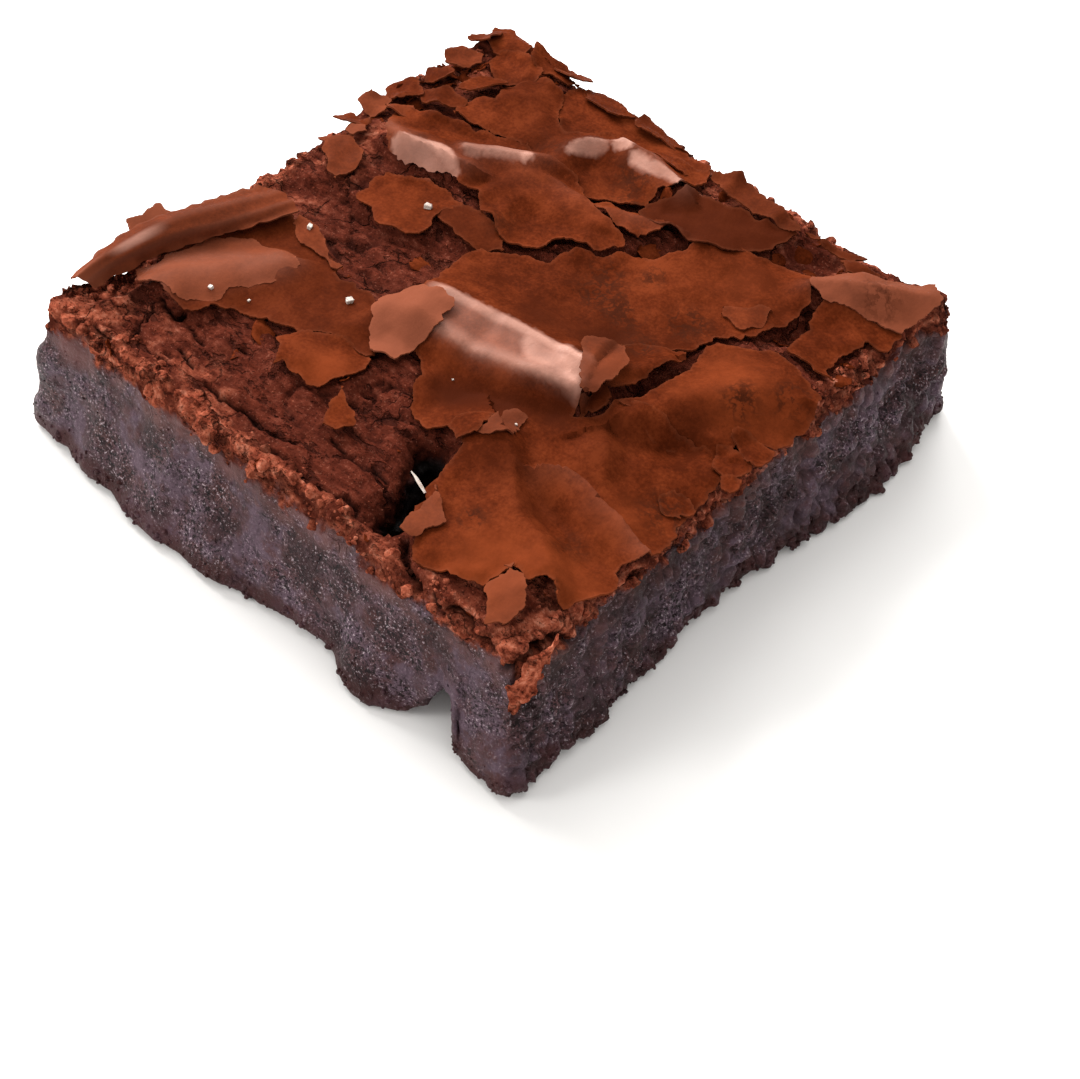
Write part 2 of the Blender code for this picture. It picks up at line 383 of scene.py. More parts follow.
def roll_row(points):
    """Which row of the roll each plan point lies on, with fractions between rows."""
    found = np.zeros(len(points))
    lines = [along(line, points[:, 0]) for line, _ in ROLL_ROWS]
    for index, (upper, lower) in enumerate(zip(lines, lines[1:])):
        within = (points[:, 1] <= upper) & (points[:, 1] > lower)
        part = (upper - points[:, 1]) / np.maximum(upper - lower, 1e-6)
        found[within] = (index + part)[within]
    return found


def before_tear(points):
    """1 on the roll, and 0 past its torn end."""
    tear = np.interp(points[:, 1], *np.array(ROLL_TEAR)[::-1, ::-1].T)
    return 1.0 - smooth_step((points[:, 0] - tear) / TEAR_FALL)


def roll_share(points):
    """How high on the roll each plan point lies, from 0 at its feet to 1 on its upper crease."""
    share = along([(index, share) for index, (_, share) in enumerate(ROLL_ROWS)], roll_row(points))
    return share * along(ROLL_ALONG, points[:, 0]) * before_tear(points)


# The roll's painted sheen: a pale highlight along its creases, where it is also glossier.
def roll_painted_sheen(points):
    pale = along(ROLL_SHEEN, roll_row(points)) * along(ROLL_SHEEN_ALONG, points[:, 0])
    return pale * before_tear(points)


def fold_share(points, fold):
    """How far up a fold each plan point lies, from 0 at its foot to 1 at its crest."""
    distance, side = path_offsets(points, fold.path)
    width = np.where(side >= 0, fold.left, fold.right)
    return fold.crest(np.minimum(distance / width, 1.0))


def facets(size, seed):
    """A surface of flat facets between corners about size hundredths apart, from -1 to 1 high."""
    rng = np.random.default_rng(seed)
    side = np.arange(-3 * size, PLAN + 3 * size, size)
    corners = np.stack(np.meshgrid(side, side), axis=-1).reshape(-1, 2)
    corners += rng.uniform(-0.42, 0.42, corners.shape) * size
    heights = rng.uniform(-1, 1, len(corners))
    found, _, faces, *_ = geometry.delaunay_2d_cdt([Vector(corner) for corner in corners], [], [], 0, 1e-6)
    return BVHTree.FromPolygons([(*place, height) for place, height in zip(found, heights)], faces)


FACETS = [(facets(size, seed), height) for seed, (size, height) in enumerate(CRUMPLES)]


def crumple(points):
    """How far the facets lift the crust at each plan point."""
    lift = np.zeros(len(points))
    for surface, height in FACETS:
        for index, (across, up) in enumerate(points):
            hit = surface.ray_cast(Vector((across, up, 5)), DOWN)[0]
            lift[index] += height * hit.z if hit else 0.0
    return lift


def crust_level(points):
    """Height of the unbroken crust at each plan point."""
    points = np.asarray(points, float)
    place = with_zero(points / PLAN * TOP_SIZE)
    stray = [uneven(place + shift, WARP_SIZE, 2) for shift in (0, 0.07)]
    rises = [fold.height * fold_share(points, fold) for fold in FOLDS]
    level = TOP_LEVEL + SWELL * uneven(place, SWELL_SIZE) + CRINKLE * uneven(place, CRINKLE_SIZE, 2)
    level += crumple(points + WARP * np.column_stack(stray))
    level -= sum(fold.height * fold_share(points, fold) for fold in VALLEYS)
    level += np.max(rises + [ROLL_HEIGHT * roll_share(points)], axis=0)
    edge = np.minimum(points, PLAN - points).min(axis=1)
    return level - RIM_DROP * (1.0 - smooth_step(edge / RIM_WIDTH))


# Patches of painted sheen, a pale highlight, on the folds, where the crust is also glossier: outline of
# plan points, how pale, and how far in its edge fades.
PAINTED_SHEENS = (
    (rows("12.4 62.3, 13.8 64.4, 16.7 66.2, 18.9 67.8, 21.3 67.9, 24 66.6, 26.3 65.2, 25.6 62.8, "
          "23.7 62.4, 21.7 61.8, 19.2 60.8, 17.3 59.6, 15.2 60"), 0.62, 0.6),
    (rows("16.8 65.9, 18.8 67.6, 21.3 67.9, 23.9 66.5, 25.7 65.3, 24.2 64, 21.6 64.4, "
          "19.3 64.6"), 0.95, 0.8),
    (rows("21 70.2, 23.2 72.8, 25.5 75.1, 28.4 76.9, 30.9 77.2, 33.3 75.9, 32.8 74.2, 30.9 73.1, "
          "27.2 70.9, 24.1 68.1, 22.5 68.7"), 0.46, 0.9),
    (rows("30.3 74.3, 31.1 76.6, 33.3 75.7, 32.1 73.4"), 0.8, 0.5),
    (rows("33.8 82, 34.4 84.1, 35.5 86.7, 37 88.3, 38.3 88.8, 39.6 87.1, 39.1 85.1, 36.8 82.8, "
          "35.1 81.1"), 0.55, 0.7),
    (rows("38.3 89.2, 39.5 90.4, 41.7 91.1, 42.7 89.5, 41.4 88, 39.6 87.5"), 1, 0.4),
    (rows("42.4 89.1, 43.9 89.9, 46.5 89.7, 48.7 90.1, 51.4 90.1, 54.5 89, 54 87.4, 51.3 87.5, 49.1 87.2, "
          "46.5 87, 43.5 87"), 0.72, 0.8),
    (rows("4.9 14.1, 4.2 17.4, 8 24.4, 12.4 28.9, 17.5 30.6, 22.3 32.6, 24.6 31.4, 19.5 25.4, 14 18.2, "
          "10.7 13.1"), 0.1, 3),
    (rows("60 44.2, 67.5 44.6, 72.5 45.6, 74.5 43, 76 38.5, 70 38.4, 65 37.2, 61 40.5"), 0.85, 2.6),
)
PATCH_SIZE = 5 * MM       # the painted sheen is patchy at about this size
PATCH_SCALE = 0.75 * MM   # the length that a hundredth counts as, for these patches


def sheen_in_patches(points):
    """How much painted sheen and gloss each plan point takes by its lying in one of the sheen patches."""
    found = np.zeros(len(points))
    for outline, amount, fade in PAINTED_SHEENS:
        within = inside(points, outline)
        if within.any():
            distance = edge_distance(points[within], np.array(outline))
            found[within] = np.maximum(found[within], amount * smooth_step(0.15 + distance / fade))
    return found


def crest_gloss_and_sheen(points):
    """How much gloss and painted sheen, a pale highlight, the crust takes at each plan point."""
    patchy = 0.90 + 0.8 * uneven(with_zero(points * PATCH_SCALE), PATCH_SIZE, 2)
    crests = np.max([fold.bloom * fold_share(points, fold) ** 2 for fold in FOLDS], axis=0)
    sheen_amount = crests * np.clip(patchy, 0.3, 1.25)
    patch_sheen = sheen_in_patches(points) * np.clip(0.4 + patchy * 0.7, 0.6, 1.15)
    return np.max([sheen_amount, patch_sheen, roll_painted_sheen(points)], axis=0)


# Spots on the crust: plan point, reach in hundredths, amount. Warm spots are more orange and brighter,
# partly the crust's own tone and partly painted light on lit faces; dark spots are painted shade below
# and behind the roll, under the right lobe's edge and in the valleys of the folds; blotches are covered in
# dark rings.
WARM_AND_LIT_SPOTS = rows(
    "88 7 13 1, 96 14 9 0.7, 43 18 7.5 1, 94 27 10 0.5, 99 58 9 0.6, 76 46 6 0.8, 50 76 10 0.35, "
    "24 54 8 0.3, 88 60 9 0.7, 75 78 14 0.3, 55 34 5 0.6, 63 36 4 0.6, 98 93 8 0.9, 92 54 7 0.7, "
    "85 52 5 0.5"
)
PAINTED_SHADE_SPOTS = rows(
    "58 28.5 6 0.9, 63 30 6 1, 68 33 5 1, 73.5 35.5 5 0.9, 59 49 9 0.8, 68 52 8 0.8, 78 41 9 0.7, "
    "84 36 8 0.4, 24 25 9 0.45, 30 82 12 0.45, 44 86 8 0.35, 60 62 10 0.2, 45 50 8 0.25, 18 90 10 0.4, "
    "30 68 9 0.5, 70 56 8 0.5, 76 23 8 0.45, 84 20.5 5 0.55, 90 48 6 0.45, 36 23 7 0.3"
)
BLOTCHES = rows(
    "61 61 7 1, 75 66 6 1, 58 66 5 0.8, 73 56 5 1, 93 56 5 1, 98 62 5 1, 79.4 12.6 3.5 1, 97 34 6 0.9, "
    "46 86 7 0.9, 50 80 6 0.6, 67 60 5 1, 64 70 4 0.8, 31 82 6 0.5, 92 19 5 0.5, 38 62 5 0.5, "
    "56 76 4 0.4, 94 90 6 0.6"
)


# ---------------------------------------------------------------- camera, light and floor

AZIMUTH = math.radians(38.6)
ELEVATION = math.radians(49.2)
ROLL = math.radians(4.5)
DISTANCE = 0.228
TARGET = Vector((TOP_MIDDLE[0] + 0.024, TOP_MIDDLE[1] - 0.0195, 0.012))
LENS = 68.5

LAMP_COLOUR = (1.0, 0.985, 0.97)
SKY_STRENGTH = 0.80
# name, place, height of what it is aimed at, size and power.
LAMPS = (
    ("window", (-0.42, 0.12, 0.34), 0.01, 0.34, 4.1),
    ("back", (-0.22, 0.40, 0.42), 0.01, 0.30, 1.6),
    ("front", (-0.25, -0.38, 0.22), 0.01, 0.16, 0.8),
    ("ceiling", (0.05, 0.0, 0.70), 0.0, 0.45, 0.5),
)
FLOOR_HALF = 1.5
FLOOR_COLOUR = (0.96, 0.955, 0.94)
FLOOR_ROUGHNESS = 0.8


def make_camera():
    data = bpy.data.cameras.new("camera")
    data.lens = LENS
    data.clip_start = 0.01
    camera = new_object("camera", data)
    back = Vector((
        math.sin(AZIMUTH) * math.cos(ELEVATION),
        -math.cos(AZIMUTH) * math.cos(ELEVATION),
        math.sin(ELEVATION),
    ))
    level = Vector((math.cos(AZIMUTH), math.sin(AZIMUTH), 0.0))
    up = back.cross(level)
    right = level * math.cos(ROLL) + up * math.sin(ROLL)
    upright = up * math.cos(ROLL) - level * math.sin(ROLL)
    turn = Matrix((right, upright, back)).transposed()
    camera.matrix_world = Matrix.Translation(TARGET + back * DISTANCE) @ turn.to_4x4()
    bpy.context.scene.camera = camera


def make_light():
    world = bpy.data.worlds.new("studio")
    bpy.context.scene.world = world
    world.use_nodes = True
    sky = world.node_tree.nodes["Background"]
    sky.inputs["Color"].default_value = (*LAMP_COLOUR, 1.0)
    sky.inputs["Strength"].default_value = SKY_STRENGTH
    for name, place, aim, size, power in LAMPS:
        data = bpy.data.lights.new(name, "AREA")
        data.shape = "DISK"
        data.size = size
        data.energy = power
        data.color = LAMP_COLOUR
        lamp = new_object(name, data)
        lamp.location = place
        lamp.rotation_euler = (Vector((0, 0, aim)) - Vector(place)).to_track_quat("-Z", "Y").to_euler()
    bpy.context.scene.view_settings.view_transform = "Standard"


def make_floor():
    mesh = bpy.data.meshes.new("floor")
    corners = [(FLOOR_HALF * x, FLOOR_HALF * y, 0) for x, y in ((-1, -1), (1, -1), (1, 1), (-1, 1))]
    mesh.from_pydata(corners, [], [(0, 1, 2, 3)])
    nodes = new_material("pale_floor")
    mesh.materials.append(finish_material(nodes, {"Base Color": FLOOR_COLOUR, "Roughness": FLOOR_ROUGHNESS}))
    floor = new_object("floor", mesh)


# ---------------------------------------------------------------- materials

def new_material(name):
    material = bpy.data.materials.new(name)
    material.use_nodes = True
    nodes = Nodes(material.node_tree)
    nodes.material = material
    return nodes


def finish_material(nodes, sockets):
    """Sets the shader's sockets, and gives the material."""
    shader = nodes.tree.nodes["Principled BSDF"]
    for name, value in sockets.items():
        nodes.connect(value, shader.inputs[name])
    return nodes.material


def bump(nodes, height, strength, depth):
    """Small relief of a depth in mm."""
    return nodes.add("ShaderNodeBump", {"Height": height, "Strength": strength, "Distance": depth * MM})


def cracks(nodes, scale, width):
    """1 in thin wandering lines, 0 elsewhere."""
    place = nodes.place()
    wander = nodes.add("ShaderNodeTexNoise", {"Vector": place, "Scale": scale * 3.5, "Detail": 3.0}, "Color")
    shift = nodes.add("ShaderNodeVectorMath", {0: wander, "Scale": 0.55 / scale}, operation="SCALE")
    moved = nodes.add("ShaderNodeVectorMath", {0: place, 1: shift}, operation="ADD")
    net = nodes.add("ShaderNodeTexVoronoi", {"Vector": moved, "Scale": scale}, feature="DISTANCE_TO_EDGE")
    line = nodes.math("SUBTRACT", 1.0, nodes.math("DIVIDE", net, width), clamp=True)
    return line * nodes.rise(nodes.grain(scale * 0.8, 2), 0.50, 0.60)


def streaks(nodes, scale):
    """Noise drawn out along the front edge."""
    drawn = nodes.add("ShaderNodeVectorMath", {0: nodes.place(), 1: (0.5, 1.0, 1.0)}, operation="MULTIPLY")
    return nodes.grain(scale, 4.0, 0.65, drawn)


# Colours are linear red, green and blue. In a ramp, the place of each stop comes before its colour.
FUDGE = rows("0.39 0.034 0.013 0.015, 0.48 0.080 0.040 0.048, 0.55 0.100 0.061 0.082")
RUST = (0.074, 0.026, 0.024)
FAR_END_SHADE = (0.022, 0.010, 0.011)
DAMP_PIT = (0.009, 0.004, 0.005)
PAINTED_GLINT = (0.50, 0.40, 0.43)
BLUSH = (0.118, 0.047, 0.042)
BASE = (0.046, 0.0115, 0.0105)
DRY_CRUMB = rows(
    "0.36 0.0320 0.0058 0.0031, 0.46 0.0735 0.0138 0.0071, 0.55 0.104 0.0209 0.0111, "
    "0.68 0.182 0.0485 0.0285"
)
CORAL = rows("0.38 0.070 0.014 0.007, 0.46 0.225 0.047 0.024, 0.54 0.400 0.104 0.055, 0.64 0.60 0.22 0.135")
CORAL_SPECK = (0.34, 0.125, 0.080)
PORE = (0.01429, 0.003571, 0.002143)
SUNK_SHADE = (0.022, 0.0055, 0.0036)
SPLIT_SHADE = (0.007143, 0.002143, 0.001429)
HOLLOW_SHADE = (0.01143, 0.003571, 0.002857)
DEEP_SHADE = (0.002857, 0.0008571, 0.0005714)

CRUST = rows("0.415 0.056 0.0090 0.0023, 0.50 0.094 0.0158 0.0042, 0.585 0.140 0.0258 0.0072")
WARM_LIT_CRUST = (0.1893, 0.03571, 0.01)
DARK_CRUST_AND_SHADE = (0.04857, 0.008571, 0.002714)
PALE_CRUST = (0.1964, 0.05571, 0.02857)
RING = (0.03571, 0.009286, 0.004286)
LIVER_SPOT = (0.04286, 0.009286, 0.003571)
PAINTED_SHEEN = (0.52, 0.262, 0.195)
CRUST_EDGE_HIGHLIGHT = (0.3, 0.09286, 0.04429)

SALT_COLOURS = rows("0.35 0.40 0.31 0.26, 0.65 0.60 0.54 0.48")
SALT_SCATTER = (0.0006, 0.0005, 0.0004)


def fudge_colour(nodes, patch, glitter):
    """Damp, purple-brown fudge with rusty patches, pits, painted glints and painted shade at the far end of
    the sides.
    """
    wet = nodes.rise(patch, 0.42, 0.53, 0.25)
    pits = nodes.fall(nodes.math("MINIMUM", glitter, nodes.grain(1300, 3, 0.7)), 0.395, 0.465)
    rust = nodes.rise(nodes.grain(230, 5, 0.7), 0.50, 0.60)
    return nodes.coat(nodes.ramp(nodes.grain(170, 4), FUDGE), (
        (rust * 0.72, RUST),
        # Painted shade at the far end of the sides.
        (nodes.mark("far_end_shade") * 0.12, FAR_END_SHADE),
        (pits * wet, DAMP_PIT),
        # Painted glints: bright specks standing in for highlights on the damp patches.
        (nodes.rise(glitter, 0.605, 0.66) * wet * 0.70, PAINTED_GLINT),
        (nodes.mark("blush") * 0.80, BLUSH),
        (nodes.mark("base") * 0.75, BASE),
    ))


def dry_colour(nodes, body, patch, glitter, sunk, split):
    """Red crumb, coral where it is torn, with dark pores and painted shade in its sunken streaks and cracks.
    """
    flush = nodes.rise(patch, 0.53, 0.64) * nodes.mark("near_rim")
    return nodes.coat(nodes.ramp(body, DRY_CRUMB), (
        (nodes.math("MAXIMUM", nodes.mark("coral"), flush), nodes.ramp(body, CORAL)),
        (nodes.rise(glitter, 0.62, 0.69) * 0.38, CORAL_SPECK),
        (nodes.fall(glitter, 0.33, 0.40) * 0.8, PORE),
        # Painted shade in the sunken streaks and cracks.
        (sunk * 0.62, SUNK_SHADE),
        (split, SPLIT_SHADE),
    ))


def crumb_material():
    """Dark, moist fudge below a band of drier, redder crumb, with painted shade in its hollows, cracks and
    deep places.
    """
    nodes = new_material("fudgy_crumb")
    fine = nodes.grain(1300, 5, 0.72)
    patch = nodes.grain(130, 3, 0.6)
    glitter = nodes.grain(3000, 2, 0.75)
    drawn = streaks(nodes, 900)
    split = cracks(nodes, 170, 0.030) * 0.8
    sunk = nodes.fall(streaks(nodes, 420), 0.37, 0.44)
    dry = nodes.mark("dry")
    fudge = fudge_colour(nodes, patch, glitter)
    crumb = dry_colour(nodes, drawn * 0.55 + fine * 0.45, patch, glitter, sunk, split)
    height = fine * 0.5 + drawn * 0.5 - split * 0.6 - sunk * dry * 0.9
    return finish_material(nodes, {
        "Base Color": nodes.coat(fudge, (
            (dry, crumb),
            # Painted shade in gaps, holes and crevices, darkest low in the pit and in the clefts.
            (nodes.mark("hollow") * 0.70, HOLLOW_SHADE),
            (nodes.mark("deep"), DEEP_SHADE),
        )),
        "Roughness": nodes.math("MULTIPLY_ADD", dry, 0.27, 0.50),
        "Specular IOR Level": nodes.math("MULTIPLY_ADD", dry, -0.13, 0.14),
        "Normal": bump(nodes, height, 1.0, 0.50),
    })


def crust_material():
    """Thin baked crust: red-brown, with dark blotches, and glossier crests with a pale painted sheen; painted
    light and shade come from the plates' marks.
    """
    nodes = new_material("crackled_crust")
    mottle = nodes.grain(420, 5, 0.65)
    fine = nodes.grain(2600, 3, 0.6)
    shade = nodes.grain(75, 3) * 0.40 + mottle * 0.36 + fine * 0.24
    cloud = nodes.math("MULTIPLY_ADD", nodes.grain(210, 4, 0.6), 1.0, 0.25)
    blotch = nodes.mark("blotch")
    ring = nodes.fall(nodes.math("ABSOLUTE", nodes.grain(330, 3, 0.6) - 0.5), 0.0, 0.045)
    liver = nodes.fall(nodes.grain(620, 5, 0.7), 0.45, 0.51)
    bloom = nodes.mark("bloom")
    sheen_amount = bloom * nodes.math("MULTIPLY_ADD", mottle, 0.5, 0.72)
    return finish_material(nodes, {
        "Base Color": nodes.coat(nodes.ramp(shade, CRUST), (
            # A warmer tone, partly the crust's own and partly painted light on lit faces.
            (nodes.math("MULTIPLY", nodes.mark("warm_and_lit") * cloud, 1.0, clamp=True), WARM_LIT_CRUST),
            # Darker plates, and painted shade in valleys, below the roll and on the curl.
            (nodes.mark("dark"), DARK_CRUST_AND_SHADE),
            (nodes.mark("pale"), PALE_CRUST),
            (ring * blotch * 0.95, RING),
            (liver * blotch * 0.9, LIVER_SPOT),
            # Painted sheen: a pale pink highlight on the crests and patches, which are also glossier.
            (nodes.math("MULTIPLY", sheen_amount, 0.84, clamp=True), PAINTED_SHEEN),
            # Painted highlight along the torn edges.
            (nodes.mark("edge") * 0.09, CRUST_EDGE_HIGHLIGHT),
        )),
        "Roughness": nodes.math("MULTIPLY_ADD", bloom, -0.20, 0.60),
        "Specular IOR Level": nodes.math("MULTIPLY_ADD", bloom, 0.10, 0.006),
        "Normal": bump(nodes, mottle * 0.75 + fine * 0.25, 0.45, 0.30),
    })


def salt_material():
    """Coarse salt, white and slightly clear."""
    nodes = new_material("salt")
    cloud = nodes.grain(1500, 2)
    return finish_material(nodes, {
        "Base Color": nodes.ramp(cloud, SALT_COLOURS),
        "Roughness": 0.3,
        "Subsurface Weight": 0.3,
        "Subsurface Radius": SALT_SCATTER,
        "Normal": bump(nodes, cloud, 0.3, 0.1),
    })


# ---------------------------------------------------------------- the crumb

MERGE_REACH = 1e-6
WIDE_ANGLE = math.radians(70)   # triangles that meet flatter than this are joined to quads
WALL_CUT_SLOPE = 0.5            # steeper edges than this lie on the cut sides
WALL_CUT_LENGTH = 1.5 * MM      # and are cut in two where they are longer than this
REFINEMENT = 2
CRUST_GAP = 0.35 * MM           # the crumb lies this far below the crust's face
UNDER_PLATE = 0.30 * MM         # and this much lower still where a plate hides it
GAP_REACH = 4.0                 # hundredths from the rim over which it drops to that
DEEP_INSET = 1.2                # hundredths from the rim: a place further out isn't in a hole
UNDER_CURL = (13.5, 9.0)        # middle and half length of the hollow under the curl, in hundredths
CURL_HOLLOW = 3.0 * MM
FOOT_HEIGHT = 8.0 * MM          # below this the sides spread a little and settle on the table
FOOT_SPREAD = 0.8 * MM
FOOT_DROP = 0.5 * MM
PATH_STEP = 0.7                 # mm between the places where a path is laid on the surface
ALONG_FRONT = np.array([0.42, 1.0, 1.0])    # draws textures out along the front edge

# Where the cut sides stand out or in: plan point, reach in hundredths, lowest and highest mm above the
# table, and how far out in mm.
BULGES = rows(
    "0 2 9 0 12 0.9, 12 -4 9 0 5 0.9, 42 -4 7 0 5 0.9, 28 -4 6 0 4 0.5, 66 -4 9 0 5 -0.8, 102 -4 8 0 5 1, "
    "104 14 5 0 5 0.7, 104 92 7 0 8 1, 104 70 7 0 5 -0.7, 101 99 6 9 20 1, 85 101 6 12 21 -1.2, "
    "0 76 8 12 21 0.9"
)
# Crevices in the crumb: how wide and deep in mm, and a path of (plan point, mm above the table).
CREVICES = (
    (0.9, 1.3, rows("72.7 5.2 19.8, 74.9 3.4 19.8, 75.9 1.8 19.6, 77.4 1 19.3, 80 -0.6 19, 81.2 -1 18.5")),
    (0.5, 0.5, rows("83.5 -0.8 19.2, 85.1 -1 18.6, 86 -1 18")),
    (0.8, 1.1,
     rows("86.4 -0.9 19.2, 88.3 -0.5 19.2, 89.8 -0.9 18.8, 90.8 -1 18, 93.1 -1 18, 95.5 -0.8 18.6")),
    (1, 1.3, rows("98 -1 16.6, 100.5 -0.8 17.8, 101 0.2 18.8, 101 1.6 18.8, 101.2 3.9 19, "
                    "101.2 5.6 18.8, 101.3 7.5 17.8, 101.3 10 15.8, 101.3 11.7 14.8")),
    (0.7, 0.9, rows("7.1 1.1 19.6, 7.1 2.7 19.6, 9.3 1.8 19.6, 10.8 1 19.6, 12.2 0.9 19.6, 12.8 1.8 19.6")),
    (0.5, 0.7, rows("11.6 2.5 19.7, 12.3 3.8 19.7, 14.1 3.7 19.7, 14.5 5.3 19.7, 13.5 6.8 19.7, "
                    "13.3 7.9 19.7, 13.1 9.6 19.7, 11.8 11.2 19.7")),
    (0.9, 1.1, rows("12.1 12.4 19.7, 13.3 12 19.7, 15.8 11.3 19.7, 17.1 11.7 19.7, 17.3 12.8 19.7")),
    (0.5, 0.6, rows("20 12 19.8, 21.8 11.3 19.8, 23.5 11.1 19.8")),
    (0.5, 0.6, rows("21.9 8 19.8, 24.3 7.3 19.8, 26 6.8 19.8")),
    (0.6, 0.9, rows("30 5.5 19.8, 34 5 19.8, 38.5 6 19.8, 43 5.2 19.8, 49 6.4 19.8")),
    (0.6, 0.8, rows("47 3 19.7, 52 3.6 19.7, 57 2.6 19.7, 62 4.4 19.7, 67 4 19.7, 71 5.4 19.8")),
    (0.5, 0.6, rows("52 11 19.8, 58 10 19.8, 63 11.4 19.8, 67 10.6 19.8")),
)
# Ledges of bright crumb: how wide in mm, and a path as above.
BRIGHT_LEDGES = (
    (1.3, rows("-0.5 0.5 19.3, 2.7 -0.3 19, 5 -0.6 19.2, 6.7 -0.6 19.4")),
    (0.8, rows("9 -1.2 17.8, 11.7 -1.1 18.6, 14.5 -0.9 19, 16.9 -0.6 19.4, 21.4 0.3 19.6, 27.6 0.4 19.6")),
    (0.9, rows("31 -0.6 19.2, 36 -0.8 18.6, 41 -0.4 19.2, 48 -0.8 19, 54 -0.2 19.5")),
    (1, rows("85 -1 16.8, 88 -1 17.4, 91 -1 16.9")),
    (2, rows("96.7 -0.4 19.3, 98 -0.4 19.3, 100.4 1.6 19.6, 100.8 6 19.4, 101 9 18.4, 101 13 17.6, "
               "101 18 18.2")),
)
# Where loose flakes lie: plan point, reach in hundredths, amount.
FLAKY_SPOTS = rows(
    "6 88 14 1, 12 97 12 0.9, 4 74 12 0.8, 5 58 8 0.6, 78 92 9 0.8, 99 78 7 0.9, 98 52 7 0.7, "
    "99 38 6 0.6, 45 98 10 0.7, 62 97 8 0.5"
)


def refined_solid():
    """A copy of the solid with smooth quads, close enough together for its crumbs."""
    mesh = bmesh.new()
    mesh.from_mesh(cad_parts["brownie"].data)
    bmesh.ops.remove_doubles(mesh, verts=mesh.verts, dist=MERGE_REACH)
    bmesh.ops.join_triangles(
        mesh, faces=mesh.faces, angle_face_threshold=WIDE_ANGLE, angle_shape_threshold=WIDE_ANGLE
    )
    upright = []
    for edge in mesh.edges:
        run = edge.verts[1].co - edge.verts[0].co
        low = min(vertex.co.z for vertex in edge.verts)
        steep = abs(run.z) > WALL_CUT_SLOPE * run.length
        if steep and run.length > WALL_CUT_LENGTH and low < 0.8 * TOP_LEVEL:
            upright.append(edge)
    bmesh.ops.subdivide_edges(mesh, edges=upright, cuts=1, use_grid_fill=True)
    data = bpy.data.meshes.new("crumb")
    mesh.to_mesh(data)
    mesh.free()
    data.materials.clear()
    crumb = new_object("crumb", data)
    smooth = crumb.modifiers.new("smooth", "SUBSURF")
    smooth.levels = smooth.render_levels = REFINEMENT
    return apply_modifiers(crumb)


def crumb_cells(places, size):
    """From 0 in the gap between two grains of crumb to 1 on a grain's face."""
    near = np.array([noise.voronoi(Vector(place) / size + SEED)[0][:2] for place in places])
    return np.clip((near[:, 1] - near[:, 0]) * 2.4, 0.0, 1.0)


def pores(places, size, share):
    """1 in round holes, which take up about the given share of each cell of that size."""
    near = np.array([noise.voronoi(Vector(place) / size - SEED)[0][0] for place in places])
    return 1.0 - smooth_step((near - share) / 0.12)


def covered(points):
    """Whether each plan point lies under a plate of crust."""
    return np.any([inside(points, plate.outline) for plate in PLATES], axis=0)


def bulge(points, levels):
    """How far out of the sides' even run each place stands."""
    total = np.zeros(len(points))
    for across, up, reach, low, high, out in BULGES:
        near = 1.0 - smooth_step(np.hypot(*(points - np.array((across, up))).T) / reach)
        within = smooth_step((levels / MM - low + 2) / 2) * (1.0 - smooth_step((levels / MM - high) / 2))
        total += out * MM * near * within
    return total


def near_path(points, levels, path, width):
    """From 1 on a path laid on the nearest surface to 0 at a width, in mm, from it."""
    scale = np.append(TOP_SIZE / PLAN / MM, 1.0)
    places = np.column_stack([points, levels / MM]) * scale
    path = np.asarray(path, float) * scale
    reached = np.append(0, np.cumsum(np.linalg.norm(np.diff(path, axis=0), axis=1)))
    stops = np.linspace(0, reached[-1], int(reached[-1] / PATH_STEP) + 2)
    laid = np.column_stack([np.interp(stops, reached, path[:, axis]) for axis in range(3)])
    laid = np.array([places[((places - stop) ** 2).sum(axis=1).argmin()] for stop in laid])
    nearby = np.abs(places - laid.mean(axis=0)).max(axis=1) < reached[-1]
    best = np.full(len(points), np.inf)
    for start, end in zip(laid, laid[1:]):
        run = end - start
        offset = places[nearby] - start
        share = np.clip(offset @ run / max(run @ run, 1e-6), 0, 1)
        best[nearby] = np.minimum(best[nearby], np.linalg.norm(offset - share[:, None] * run, axis=1))
    return 1.0 - smooth_step(best / width)


def sink_under_crust(at):
    """Lowers the crumb under the crust, and finds what then lies deep in a hole."""
    level = np.full(len(at.places), TOP_LEVEL)
    level[at.upper] = crust_level(at.points[at.upper])
    at.hidden = np.zeros(len(at.places), bool)
    at.hidden[at.upper] = covered(at.points[at.upper])
    gap = (CRUST_GAP + UNDER_PLATE * at.hidden) * smooth_step(at.edge / GAP_REACH)
    at.places[at.upper, 2] = np.minimum(at.places[at.upper, 2], (level - gap)[at.upper])
    depth = smooth_step((level - at.places[:, 2] - 2.2 * MM) / (2.6 * MM))
    at.deep = depth * (at.upper & (at.edge > DEEP_INSET))


def open_curl_hollow(at):
    """Draws the side and the top in under the curl."""
    middle, half = UNDER_CURL
    hollow = np.clip(1.0 - np.abs(at.points[:, 1] - middle) / half, 0, 1) ** 0.7
    low = smooth_step((at.places[:, 2] - 11 * MM) / (6 * MM))
    hollow *= low * (1.0 - smooth_step((at.points[:, 0] + 2) / 12))
    at.places[:, 0] += CURL_HOLLOW * hollow
    at.places[:, 2] -= 0.6 * CURL_HOLLOW * hollow * at.upper


